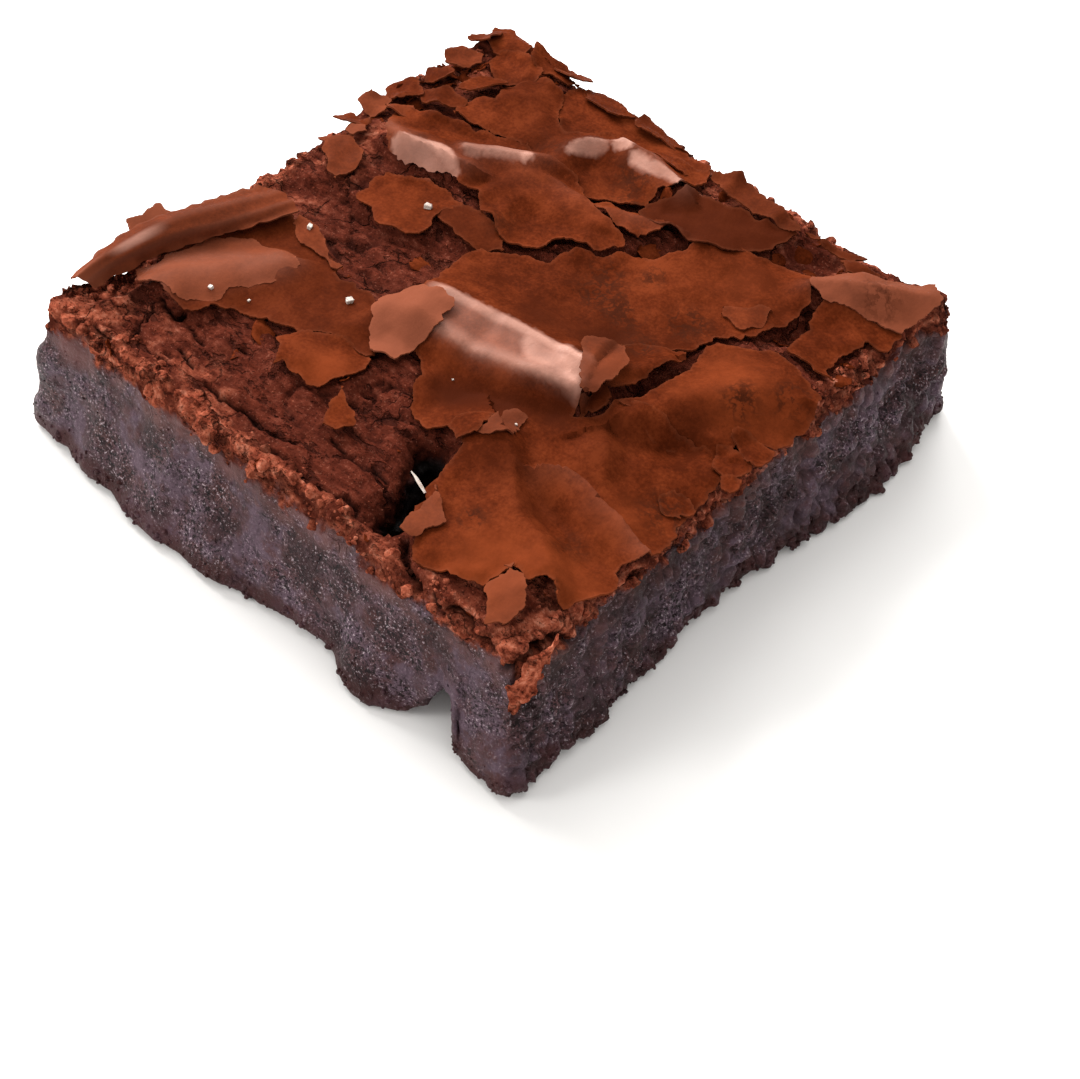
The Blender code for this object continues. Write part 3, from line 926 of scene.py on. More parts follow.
def find_zones(at):
    """Finds the cut sides, the top, the right side, the dry band with its rim, and grainy patches."""
    places, normals = at.places, at.normals
    at.side = 1.0 - smooth_step((np.abs(normals[:, 2]) - 0.40) / 0.35)
    at.top = smooth_step((normals[:, 2] - 0.40) / 0.35)
    at.right = smooth_step((normals[:, 0] - 0.5) / 0.3)
    at.rough_side = 1.0 + 0.9 * at.right
    at.rim_level = TOP_LEVEL - (3.9 + 1.0 * at.right) * MM
    at.rim_level += 1.5 * MM * uneven(places, 6 * MM) + 0.9 * MM * uneven(places, 1.5 * MM)
    over_rim = (places[:, 2] - at.rim_level) / (1.3 * MM)
    at.dry = smooth_step(over_rim + 0.5 * uneven(places + 0.05, 1.3 * MM))
    at.dry = np.maximum(at.dry, smooth_step((normals[:, 2] - 0.35) / 0.3) * at.upper)
    at.rim = at.dry * (1.0 - smooth_step((at.edge - 1.5) / 4.0))
    at.open_top = at.top * (1 - at.rim) * ~at.hidden
    at.grainy = smooth_step(0.45 + 0.8 * uneven(places, 8 * MM))


def find_textures(at):
    """Works out lumps, grains, strands, holes, pits and crevices over the whole surface."""
    places = at.places
    drawn = places * ALONG_FRONT
    at.lumps = uneven(places, 2.8 * MM, 2)
    at.grains = crumb_cells(places, 1.15 * MM)
    at.strands = crumb_cells(drawn, 1.25 * MM)
    at.clumps = crumb_cells(places + 0.5 * MM * at.lumps[:, None], 2.3 * MM)
    holed = at.side * np.maximum(0.8 * at.right, 0.25 * at.grainy)
    at.holes = pores(places, 2.6 * MM, 0.13) * holed
    at.pits = pores(drawn, 1.7 * MM, 0.10)
    at.crevices = 1.0 - smooth_step(crumb_cells(drawn + 0.6 * MM * at.lumps[:, None], 4.2 * MM) / 0.22)
    at.crevices *= smooth_step(0.3 + 1.2 * uneven(places, 7 * MM, 2))
    at.open_relief = 0.34 * uneven(drawn, 2.2 * MM, 3) + 0.24 * uneven(drawn, 1.0 * MM, 2)
    at.open_relief += 0.10 * (at.strands - 0.7) - 0.35 * at.pits - 0.75 * at.crevices
    at.rim_relief = 0.50 * uneven(places, 2.4 * MM, 3) + 0.30 * uneven(places, 1.1 * MM, 2)
    at.rim_relief += 0.20 * (at.grains - 0.7)


def find_clefts(at):
    """Lays the crevices and the bright ledges along their paths."""
    stray = [uneven(at.places + shift, 1.6 * MM, 2) for shift in (0, 0.03)]
    points = at.points + 0.35 * np.column_stack(stray)
    levels = at.places[:, 2]
    clefts = [(depth, near_path(points, levels, path, 0.8 * width)) for width, depth, path in CREVICES]
    at.cleft = np.max([near for _, near in clefts], axis=0)
    at.cleft_depth = np.max([depth * near for depth, near in clefts], axis=0)
    ledges = [near_path(points, levels, path, 1.3 * width) for width, path in BRIGHT_LEDGES]
    at.ledge = np.max(ledges, axis=0)


def relief(at):
    """How far each place is pushed out along its normal, in mm."""
    push = at.side * at.rough_side * (0.34 * at.lumps + 0.15 * at.grainy * (at.grains - 0.7)) * (1 - at.dry)
    push += at.side * at.right * 0.75 * (at.clumps - 0.7)
    push += at.rim * at.rim_relief
    push += 0.25 * at.ledge - at.cleft_depth
    push += at.open_top * at.open_relief
    return push - 0.6 * at.holes


def spread_foot(at):
    """Spreads the sides a little near the table, lets them settle on it and adds the bulges."""
    at.places[:, 2] = np.maximum(at.places[:, 2], 0.0)
    foot = 1.0 - smooth_step(at.places[:, 2] / FOOT_HEIGHT)
    outwards = at.normals[:, :2] / np.maximum(np.hypot(*at.normals[:, :2].T), 0.3)[:, None]
    spread = FOOT_SPREAD * (0.35 + 0.65 * foot) + bulge(at.points, at.places[:, 2])
    at.places[:, :2] += outwards * (at.side * spread)[:, None]
    at.places[:, 2] -= FOOT_DROP * at.side * foot
    at.places[:, 2] = np.maximum(at.places[:, 2], 0.0)


def coral_share(at):
    """Bright, torn crumb: along the rim, at the front corner and on the ledges."""
    drop = (TOP_LEVEL - at.places[:, 2]) / MM
    torn_rim = at.dry * (1.0 - smooth_step((at.edge - 1.4) / 1.8))
    torn_rim *= 1.0 - smooth_step((drop - 2.0 - 1.4 * at.right) / 2.0)
    torn_rim *= smooth_step(0.50 + 1.5 * uneven(at.places, 3.0 * MM, 2))
    corner = smooth_step(1.6 - np.hypot(at.points[:, 0] - 96, at.points[:, 1] - 5) / 9)
    corner *= smooth_step(0.60 + 1.3 * uneven(at.places + 0.09, 2.4 * MM, 2))
    return np.max([torn_rim, at.ledge, 0.75 * at.dry * corner], axis=0)


def colour_marks(at):
    """The marks that the crumb's material reads, among them where painted shade goes: the hollows, the deep
    places and the far end of the sides.
    """
    places, points = at.places, at.points
    # Painted shade in the gaps between grains, in pits and crevices, and between the clumps on the right
    # side.
    gaps = np.where(
        at.top > 0.5,
        0.35 * (1 - at.strands) + at.open_top * (0.5 * at.pits + 1.0 * at.crevices),
        (1 - at.grains) * np.maximum(0.7 * at.dry, 0.5 * at.grainy * at.rough_side),
    )
    holes = np.maximum(at.holes, 0.9 * at.side * at.right * smooth_step((0.45 - at.clumps) / 0.45))
    base = 1.0 - smooth_step((places[:, 2] - 1.9 * MM - 1.3 * MM * uneven(places, 4 * MM)) / (1.8 * MM))
    # Painted shade at the far end of the sides, near the -X -Y corner.
    far_end_shade = (1.0 - smooth_step((points[:, 0] + 2) / 9)) * (1.0 - smooth_step((points[:, 1] - 3) / 5))
    blush = at.side * (1.0 - smooth_step((at.rim_level - places[:, 2] - 0.3 * MM) / (3.4 * MM)))
    return {
        "far_end_shade": far_end_shade * at.side,
        "near_rim": 1.0 - smooth_step((at.edge - 3.0) / 12.0),
        # Where painted shade is deepest: low in the pit and in the clefts.
        "deep": np.maximum(at.deep, 0.85 * smooth_step(1.3 * at.cleft - 0.3)),
        "dry": np.maximum(at.dry, at.ledge),
        "coral": coral_share(at),
        "base": base,
        "blush": blush * smooth_step(0.62 + 0.9 * uneven(places, 3.5 * MM, 3)),
        "hollow": np.clip(np.maximum(gaps + holes, 1.3 * at.cleft), 0, 1),
    }


def scatter_marks(at, marks):
    """The marks that say where crumbs and flakes lie."""
    bare = np.where(at.upper & ~at.hidden & (at.edge > 0.5), 1.0, 0.0)
    untidy = spots(at.points, FLAKY_SPOTS) * at.top * (at.edge > -2)
    return {
        "bare": bare * (1.0 - at.deep),
        "rim_crumbs": at.rim * (1.0 - at.hidden),
        "side_crumbs": at.side * (1.0 - marks["dry"]) * (0.15 + 0.85 * at.grainy),
        "base_crumbs": at.side * marks["base"],
        "flake_zone": np.maximum(untidy, 0.03 * bare) * (1.0 - at.deep),
    }


def make_crumb():
    """Opens the hollow under the curl, roughens every face and marks what the looks need."""
    crumb = refined_solid()
    at = SimpleNamespace(places=coordinates(crumb.data))
    at.normals = np.array([tuple(vertex.normal) for vertex in crumb.data.vertices])
    at.points = xy_to_plan(at.places)
    at.edge = np.minimum(at.points, PLAN - at.points).min(axis=1)
    at.upper = (at.normals[:, 2] > 0.2) & (at.places[:, 2] > 0.55 * TOP_LEVEL)
    for step in (sink_under_crust, open_curl_hollow, find_zones, find_textures, find_clefts):
        step(at)
    at.places += at.normals * (relief(at) * MM)[:, None]
    spread_foot(at)
    crumb.data.vertices.foreach_set("co", np.asarray(at.places, np.float32).ravel())
    crumb.data.update()
    marks = colour_marks(at)
    set_marks(crumb.data, marks)
    set_marks(crumb.data, scatter_marks(at, marks))
    crumb.data.materials.append(crumb_material())
    crumb.data.shade_smooth()
    return finish_piece(crumb, "brownie")


# ---------------------------------------------------------------- the crust's plates

# Outline of plan points, layer (higher lies over lower) and peel of its edge in mm. Then shares: dark,
# pale (dusty tan), settle (how far its edge sinks to the crumb) and how much of the crests' gloss and painted
# sheen it takes.
# It can tilt, in mm over its width along x and y, be raised by some mm, and have a fold of its own,
# where its edge has rolled or been pushed up.
Plate = namedtuple("Plate", "name outline layer peel dark pale tilt settle raised polish fold")


def shard(name, outline, layer, peel=0.3, dark=0, pale=0, tilt=(0, 0), settle=0, raised=0, polish=1,
          fold=None):
    looks = (layer, peel, dark, pale, tilt, settle, raised, polish, fold)
    return Plate("crust_" + name, rows(outline), *looks)


PLATES = (
    shard("middle", "39.8 55.5, 45 58, 50 60.5, 50.5 64, 55 68, 57 71.5, 62 73, 63.5 77, 65 81.5, 70 84.5, "
          "75 86.5, 80 88, 83 87.5, 84.5 85.5, 86.5 82, 86.3 76, 84 70, 82 67.5, 80.2 66, 79.6 61, "
          "76 57.5, 73 55, 71.8 50, 72.5 45.5, 73.8 43.2, 74.9 40.8, 76.1 37.6, 78 39.5, 80 44.5, 86 45.5, "
          "91 46.5, 94 48, 97 47, 99.5 44, 100 41, 101 38, 100.5 33, 102 30, 101 25, 100 20, 101.5 16, "
          "100 13.5, 99 10.5, 96.5 12, 94.5 11, 93 9, 91 10.5, 89.5 10, 88.5 5, 84.5 4, 80.5 3, 77.5 2.5, "
          "75 5, 74 7, 72.5 8, 71 11, 70 14.5, 69.5 18, 69 20, 68 22.5, 66.5 24, 64 23, 61.5 21, 58 22, "
          "55 25, 54 28, 51 30, 48 31, 45 35, 43 39, 41.5 44, 40.3 49", 1, 0.35),
    shard("roll_end", "69.9 47.3, 70.3 48.3, 72.1 51.1, 73.9 51.9, 76 49.7, 77.4 47.3, 77.6 43.9, "
          "77.2 40.6, 75.5 39.2, 73.4 41.7, 71.9 43.9, 70.4 46.1",
          3, 0.1, pale=0.3, raised=2, polish=0.1, fold=folded("74.5 51, 75.5 46, 76 40", 5, 4, 0.6, "round")),
    shard("behind_roll", "79.3 60, 79.8 57, 79.3 52, 78.8 48, 76 46, 74 49, 71.5 53, 70.5 54.5, 73 56, "
          "76.5 58.5", 2, fold=folded("74 50, 77.5 50.5, 79 56", 6, 3, 1, "round")),
    shard("right", "80.2 63.5, 82.2 64.8, 85.8 66.8, 89.6 69, 92.4 68.8, 97 67, 101.3 65.5, 102.5 62, "
          "102.5 57.5, 101.5 54.8, 99.8 53.7, 96.6 52, 96 50.2, 96.6 48.2, 93.2 46.6, 90 44.8, 86.5 43.5, "
          "83.6 43.3, 80 43.2, 81.3 46.3, 82.5 51.2, 82.7 53, 81.6 57.4, 80.7 60",
          1.6, 0.12, fold=folded("80 66, 89 70.5, 97 68.5", 2, 7, 0.5, "round")),
    shard("right_flake_a", "96.2 50.3, 96 52, 99.3 53.8, 102.2 53.6, 102.6 52, 102 49.4, 100.6 48.5, "
          "98.6 49.4", 5, 0.4),
    shard("right_flake_b", "95.2 48.2, 97 49.6, 99.8 49.3, 101.4 48, 101.4 46, 99.8 44.4, 97.3 45", 6, 0.4),
    shard("right_flake_c", "99 44, 100.2 45.7, 102.2 45.5, 103 43.5, 102.6 42, 100.6 42.2", 7),
    shard("right_flake_d", "95 38.5, 98 39.3, 100.5 37.5, 100 34.5, 97 34, 95 35.5", 3),
    shard("loose_flake", "37.8 35.5, 40.8 38.3, 43.5 40, 46 40.5, 49.5 39, 50.8 35.5, 50 31, 48.5 27.5, "
          "45.5 26.3, 43 27.5, 40.3 30.3, 38.8 33", 5, 0.25, pale=1),
    shard("left", "9.8 42, 15 39.6, 19 39, 24 37.5, 28 35.6, 34 35.5, 37.5 35, 41 32, 45 28, 46 26, 43 25, "
          "38 24.5, 34 22.5, 30 21.5, 26 20.5, 22 19, 19.5 16.5, 18.5 13.4, 15 12.6, 12 13.4, 8 13, "
          "5.5 22, 7 30, 8 36", 1, 0.1, dark=0.45),
    shard("tongue", "33.5 22.3, 38 25, 43 26, 46.3 25.2, 46.3 22.5, 45.3 18.5, 44 15.8, 40.5 15.6, "
          "36 14.2, 34.3 16.8, 32.3 18.2", 2, 0.15, settle=0.3),
    shard("left_lobe", "5.2 14, 8 12.2, 12 13, 15 12.8, 17.3 14, 18 17, 19.5 21, 22 24, 24 29, 23.5 31.5, "
          "20.5 33, 16 33, 12 32.5, 10 30, 7.5 26, 6.8 22, 5.3 18.5, 6.2 16.3", 2, 0.12, pale=0.5),
    shard("tip_flake", "-2.6 18.9, -2.4 22.8, -2.8 25.2, 0.2 24.7, 1.8 22.3, 1.5 19.9, -0.1 17.6",
          1, dark=0.3, pale=0.5, raised=2.4),
    shard("left_strip", "13 41, 16 40.5, 20 39.8, 27 36.6, 24 35.6, 20 37, 16 37.8, 13.5 39", 3, pale=0.2),
    shard("back_left_fold", "6.3 69.5, 8.6 65.8, 10.6 62.6, 13 61, 15.5 60.8, 21 63, 26 64.4, 30.5 64.4, "
          "32 63.5, 34 61.5, 40 60, 44.5 60.2, 46.5 62, 47.5 65, 50.5 66.5, 54 68.5, 56 72, 53 73.5, "
          "49 74.2, 45.5 75.5, 42.5 78, 39 79, 35 79, 31.5 80, 27 80.5, 20 78, 13 74.5, 8 72",
          3, 0.4, fold=folded("50 72, 40 70, 32 68", 5, 6, 0.5, "round")),
    shard("small_middle", "44 76.5, 46 78.5, 50 80, 58 81.5, 59 78.5, 57 74.5, 55.5 73.8, 50 75.3, 46 76.2",
          2, 0.35),
    shard("below_fold", "15 59.4, 20 61.2, 27 62.8, 30.5 61, 28.5 58, 30 53.5, 30.5 51, 25 49, 20 50, "
          "16 52, 15 56", 1, polish=0.1),
    shard("below_fold_dark", "28 58, 31 62, 36 62, 40 60, 43 57.5, 41 55.5, 36 54.5, 31 55.5",
          0, dark=0.55),
    shard("back", "13 76, 20 79, 28 79.5, 35 78, 43 77.5, 50 81, 52 83, 51 86, 54 88, 54 91, 55.5 93.5, "
          "54 96, 48 96.5, 41 92.8, 40.5 90.5, 38 90.5, 36 92, 33 90, 30 87.5, 27 88.5, 24.5 92, 22 95, "
          "18 95, 15 92, 14 88, 16 84, 11 80", 2),
    shard("back_rim", "22 99.5, 22 94, 25 90, 30 86.5, 36 89, 41 90, 46 92, 52 92.5, 55 95, 53 98, "
          "48 98.5, 40 99, 34 100, 28 99.5", 1, 0.4),
    shard("back_dark", "52.7 80.8, 52 83, 53.5 84.8, 55.3 87.4, 56 90, 59.7 90.8, 63.2 91.3, 66.9 92.1, "
          "70.8 93.3, 74.8 94, 73.8 89, 71.6 84.5, 69 81.7, 64.5 80, 58.9 79.3, 55.1 79.7",
          3, 0.25, dark=0.85),
    shard("back_sliver", "54 95.5, 55.8 97.2, 59.6 97.4, 65.7 96.8, 70.4 96, 75.4 94, 71 92.6, 66 92.3, "
          "59 92.6", 5, 0.7, dark=0.35, pale=0.1),
    shard("back_shard_a", "75 95.5, 80 97.5, 86 98, 85 95.5, 80 94.8", 3, 0.6, dark=0.7),
    shard("back_shard_b", "83.5 94, 86 95.5, 90 96.3, 92 94.5, 90 92, 86 90.5", 3, 0.6, dark=0.6),
    shard("corner_ridge", "83 86.5, 86 89.5, 90 93, 95 98, 97.5 101.5, 100 99, 101 93, 100.5 88.3, "
          "95 86.5, 91 85.3, 88 84, 85 84.2", 4, 0.2, pale=0.72),
    shard("corner_front", "88.5 83.5, 91 85.5, 96 87, 100 88.5, 100.5 84, 98 82, 97 77, 97.5 73, 99.5 72, "
          "96 71, 90 72, 89.5 76, 88.5 80", 2, 0.35),
    shard("left_back", "0.5 57, 5 60.5, 9 59, 11 55, 10.5 51, 8 52, 5 55", 2, 0.5, pale=0.2),
    shard("left_back_flake", "3 62.5, 5.5 63.5, 7 62.2, 5 60.5, 3.2 60.8", 3, 0.4, pale=0.5),
    shard("left_corner", "0 101, 6 102, 10 100, 10 97, 5 95, 2 97", 3, 0.5),
    shard("corner_flake_a", "6 96, 11 97.5, 17 96, 18 92, 14 90, 9 91, 6 93", 2, 0.5, tilt=(0.5, 0.5)),
    shard("corner_flake_b", "11 100, 17 101, 23 99.5, 22 96.5, 16 96, 12 97", 4, 0.5, tilt=(-0.6, 0.4)),
    shard("corner_flake_c", "8 89, 12 91, 15 88, 13 84, 9 83, 7 86", 4, 0.5, tilt=(0.7, -0.3)),
    shard("corner_flake_d", "0.5 92, 4 94, 6 91, 5 87, 2 86, -0.5 88",
          4, 0.5, pale=0.15, tilt=(-0.5, -0.5)),
    shard("corner_flake_e", "-0.5 84, 3 86, 6 84, 4 81, 1 80.5", 3, 0.5, dark=0.2, tilt=(0.5, 0.6)),
    shard("rim_flake_a", "-1.8 76, -0.5 79.5, 2.5 80, 5.5 77, 4 73.5, 1 72.5",
          2, 0.5, dark=0.2, tilt=(0.5, 0.3)),
    shard("rim_flake_b", "-1.6 68, -1.2 71.5, 2.8 72.3, 4.5 69, 2.5 66.5",
          3, 0.6, pale=0.35, tilt=(-0.5, 0.4)),
    shard("rim_flake_c", "-1.5 62, -0.8 65.3, 3.8 66, 6 64, 3 62.3", 2, 0.5, dark=0.1, tilt=(0.4, -0.5)),
    shard("rim_flake_d", "5 78, 8.5 81.5, 12.5 80.5, 11 76.5, 8 75.5", 3, 0.5, dark=0.35),
    shard("rim_flake_e", "3 70, 6.5 74, 9 73, 8 70, 5 68.5", 4, 0.5, pale=0.15, tilt=(-0.4, -0.4)),
    shard("rim_flake_f", "-1.2 95.5, -0.5 99, 3 99, 4 95.5, 1.5 94", 5, 0.5, dark=0.25, tilt=(0.5, -0.4)),
    shard("rim_flake_g", "23.5 101, 30 101.3, 35 99.6, 32 96.5, 26 97", 3, 0.5, dark=0.2, tilt=(0.3, -0.6)),
    shard("rim_flake_h", "36 100.8, 43 100.6, 47 98.5, 41 96, 37 97.5",
          3, 0.6, dark=0.45, tilt=(-0.5, -0.3)),
    shard("rim_flake_i", "15 101.5, 20 102, 24 100.8, 22.5 98.5, 17 98.8",
          5, 0.4, pale=0.2, tilt=(0.4, -0.4)),
    shard("front_flake", "88.6 10, 90.2 10, 93.2 8.3, 95.3 4.8, 95.8 1.4, 93 0.8, 89.6 4, 89 7",
          3, 0.35, pale=0.35),
    shard("pit_flake", "73 4.6, 71.9 7.6, 72.2 9.9, 70.8 13.6, 74.2 11.6, 77.2 9.3, 76 7.4, 74.8 4.8",
          3, 0.5, pale=0.4),
    shard("gap_flake_a", "69.7 24.2, 69.3 27.2, 68.5 31, 71.8 32.3, 73.1 29.8, 73.5 27.2, 71 24.7",
          4, 0.35, dark=0.2, pale=0.35),
    shard("gap_flake_b", "65 22.6, 64.6 24.6, 67 27.5, 69.2 28.2, 69.6 24.7, 67.8 21", 3, 0.4, dark=0.1),
    shard("front_chip", "46.5 18.5, 48.5 17.5, 53 14.5, 52.5 12, 50 11, 48 13", 1),
    shard("cavity_side", "80.5 76.5, 83.5 77, 84 73, 82 70.2, 77 70.5, 76 72.5", 3, pale=0.1),
    shard("roll_foot", "73.6 45.6, 75 45.9, 77 45.2, 79.2 42.9, 79 41.4, 76.9 40, 76.6 38.4, 75.6 40.8, "
          "74.6 43.2", 0, 0.1, polish=0.1),
)

LAYER = 0.16 * MM
PLATE_GAP = 0.12 * MM
GRID = 0.42 * MM
GRID_SHIFT = 0.28              # shares of the grid by which its points stray
BARE_INSET = 0.22 * MM         # no grid point lies nearer an edge than this
OUTLINE_STEP = 0.22 * MM
EDGE_RAG = 0.608 * MM
EDGE_RAG_SIZE = 5.0 * MM
EDGE_TEETH = ((1.9 * MM, 0.42 * MM), (0.75 * MM, 0.24 * MM))    # about how wide, and how far out or in
EDGE_NICKS = 0.07 * MM
EDGE_LIT = 0.35 * MM           # the painted highlight, a paler line, along a plate's torn edge
PEEL_REACH = 2.6 * MM
PEEL_SIZE = 4.5 * MM
SHEET_WAVES = ((6.0 * MM, 0.08 * MM), (1.9 * MM, 0.035 * MM))
SHARP_ANGLE = math.radians(50)
SETTLE_REACH = 2.2 * MM
SETTLE_SIZE = 6.0 * MM
REST = 0.10 * MM
SAG = 0.9 * MM                 # the furthest an edge hangs below its sheet
CEILING = BOX_HIGH.z + 0.6 * MM    # a raised plate levels out just under this
CEILING_EASE = 0.8 * MM


def stepped(outline, step):
    """The closed outline as points that lie about one step apart."""
    closed = np.vstack([outline, outline[:1]])
    run = np.concatenate([[0], np.cumsum(np.hypot(*np.diff(closed, axis=0).T))])
    places = np.linspace(0, run[-1], max(int(run[-1] / step), 8), endpoint=False)
    return np.column_stack([np.interp(places, run, closed[:, axis]) for axis in (0, 1)])


def teeth(count, width, depth, rng):
    """Sharp-cornered steps out and in along an outline, each about width wide."""
    corners = np.cumsum(rng.uniform(0.35, 1.65, int(count * OUTLINE_STEP / width) + 3)) * width / OUTLINE_STEP
    corners = corners[corners < count - 1]
    heights = rng.uniform(-1, 1, len(corners)) * depth
    return np.interp(np.arange(count), corners, heights, period=count) if len(corners) else np.zeros(count)


def torn(outline, seed):
    """Moves an outline's points out and in, as a brittle sheet tears."""
    rng = np.random.default_rng(seed + 500)
    run = np.roll(outline, -1, axis=0) - np.roll(outline, 1, axis=0)
    outwards = np.column_stack([run[:, 1], -run[:, 0]]) / np.maximum(np.hypot(*run.T), 1e-9)[:, None]
    place = with_zero(outline) + np.array([0, 0, seed * 0.37])
    shift = EDGE_RAG * uneven(place, EDGE_RAG_SIZE, 2)
    shift += sum(teeth(len(outline), width, depth, rng) for width, depth in EDGE_TEETH)
    shift += np.random.default_rng(seed + 900).uniform(-1, 1, len(outline)) * EDGE_NICKS
    return outline + outwards * shift[:, None]


def filled(outline, rng):
    """Points and triangles that fill an outline."""
    low, high = outline.min(axis=0), outline.max(axis=0)
    grid = np.meshgrid(*(np.arange(low[axis], high[axis], GRID) for axis in (0, 1)))
    grid = np.stack(grid, axis=-1).reshape(-1, 2)
    grid += rng.uniform(-GRID_SHIFT, GRID_SHIFT, grid.shape) * GRID
    grid = grid[inside(grid, outline)]
    grid = grid[edge_distance(grid, outline) > BARE_INSET]
    points = [Vector(point) for point in np.vstack([outline, grid])]
    ring = list(range(len(outline)))
    found, _, faces, *_ = geometry.delaunay_2d_cdt(points, [], [ring], 1, 1e-8)
    faces = np.array([face for face in faces if len(face) == 3])
    used, index = np.unique(faces, return_inverse=True)
    return np.array([tuple(point) for point in found])[used], index.reshape(-1, 3)


def point_normals(places, faces):
    first, second, third = (places[faces[:, k]] for k in range(3))
    across = np.cross(second - first, third - first)
    normals = np.zeros_like(places)
    for k in range(3):
        np.add.at(normals, faces[:, k], across)
    return normals / np.maximum(np.linalg.norm(normals, axis=1), 1e-15)[:, None]


def open_edges(faces):
    """The edges of one face only, each in that face's direction."""
    ends = np.concatenate([faces[:, [0, 1]], faces[:, [1, 2]], faces[:, [2, 0]]])
    keys = [tuple(sorted(pair)) for pair in ends.tolist()]
    counts = {}
    for key in keys:
        counts[key] = counts.get(key, 0) + 1
    return np.array([pair for pair, key in zip(ends.tolist(), keys) if counts[key] == 1])


def grid_faces(across, lengthways):
    """The triangles of a grid of points, given by its counts."""
    corners = np.arange(across * lengthways).reshape(across, lengthways)
    first, second = corners[:-1, :-1].ravel(), corners[:-1, 1:].ravel()
    third, fourth = corners[1:, 1:].ravel(), corners[1:, :-1].ravel()
    return np.vstack([np.column_stack([first, second, third]), np.column_stack([first, third, fourth])])


def facing(places, faces, way):
    """The faces, turned so that they point a given way."""
    return faces if (point_normals(places, faces) @ np.array(way)).mean() >= 0 else faces[:, ::-1]


def thick_sheet(name, places, faces, thickness, marks):
    """A closed thin sheet under the given surface, with its marks."""
    below = places - point_normals(places, faces) * thickness
    count = len(places)
    rim = open_edges(faces)
    sides = np.column_stack([rim[:, 1], rim[:, 0], rim[:, 0] + count, rim[:, 1] + count])
    mesh = bpy.data.meshes.new(name)
    every_face = faces.tolist() + (faces[:, ::-1] + count).tolist() + sides.tolist()
    mesh.from_pydata(np.vstack([places, below]).tolist(), [], every_face)
    mesh.update()
    set_marks(mesh, {mark: np.tile(np.broadcast_to(values, count), 2) for mark, values in marks.items()})
    mesh.shade_smooth()
    mesh.set_sharp_from_angle(angle=SHARP_ANGLE)
    return mesh


def sheet_waves(places, seed):
    shifted = places + np.array([0, 0, seed * 0.11])
    return sum(depth * uneven(shifted, size, 2) for size, depth in SHEET_WAVES)


WELL_ABOVE = 50 * MM


def level_below(surface, places):
    """The surface's height straight below each place, or the place's own height where there is none."""
    found = []
    for place in places:
        hit = surface.ray_cast(Vector((place[0], place[1], WELL_ABOVE)), DOWN)[0]
        found.append(hit.z if hit else place[2])
    return np.array(found)


def eased_under_ceiling(level):
    over = np.maximum(level - CEILING + CEILING_EASE, 0)
    return level - (over - CEILING_EASE * (1 - np.exp(-over / CEILING_EASE)))


def plate_level(plate, seed, spread, points, distance, surface):
    """Height of a plate at each place: over the crust's level, peeled, folded, settled and tilted."""
    flat = with_zero(spread)
    level = crust_level(points) + PLATE_GAP + LAYER * plate.layer + plate.raised * MM
    level += sheet_waves(flat, seed)
    curl = uneven(flat + np.array([0, 0, seed * 0.05]), PEEL_SIZE, 2)
    near = 1.0 - smooth_step(distance / PEEL_REACH)
    level += plate.peel * MM * near * np.maximum(curl, -0.05) * 2.2
    if plate.fold:
        level += plate.fold.height * fold_share(points, plate.fold)
    if plate.raised:
        level = eased_under_ceiling(level)
    below = level_below(surface, np.column_stack([spread, level])) + REST
    below = np.maximum(below, level - SAG)
    settled = plate.settle + 0.6 * uneven(flat + np.array([0, 0, seed * 0.03]), SETTLE_SIZE, 2)
    settled = np.clip(settled, 0, 1) * (1.0 - smooth_step(distance / SETTLE_REACH))
    level += (below + LAYER * 0.6 * plate.layer - level) * settled
    width = spread - spread.mean(axis=0)
    reach = np.maximum(np.abs(width).max(axis=0), 1e-6)
    level += (width / reach) @ (np.array(plate.tilt) * MM)
    return np.maximum(level, below)


def make_plate(plate, seed, material, surface):
    rng = np.random.default_rng(seed)
    outline = stepped(plan_to_xy(plate.outline), OUTLINE_STEP)
    ahead = np.roll(outline, -1, axis=0)
    if np.sum(outline[:, 0] * ahead[:, 1] - ahead[:, 0] * outline[:, 1]) < 0:
        outline = outline[::-1]
    outline = torn(outline, seed)
    spread, faces = filled(outline, rng)
    points = xy_to_plan(spread)
    distance = edge_distance(spread, outline)
    level = plate_level(plate, seed, spread, points, distance, surface)
    mesh = thick_sheet(plate.name, np.column_stack([spread, level]), faces, CRUST_THICKNESS, {
        # Gloss and a painted sheen, a pale highlight, on the crests and patches.
        "bloom": crest_gloss_and_sheen(points) * (1.0 - plate.pale) * plate.polish,
        # Warmer tone, partly painted light on lit faces.
        "warm_and_lit": spots(points, WARM_AND_LIT_SPOTS),
        # The plate's own dark tone, and spots of painted shade.
        "dark": np.maximum(plate.dark, spots(points, PAINTED_SHADE_SPOTS)),
        "pale": plate.pale,
        "blotch": spots(points, BLOTCHES),
        # Painted highlight along the torn edge.
        "edge": 1.0 - smooth_step(distance / EDGE_LIT),
    })
    return piece_from(plate.name, mesh, material)


# ---------------------------------------------------------------- the curl at the left edge

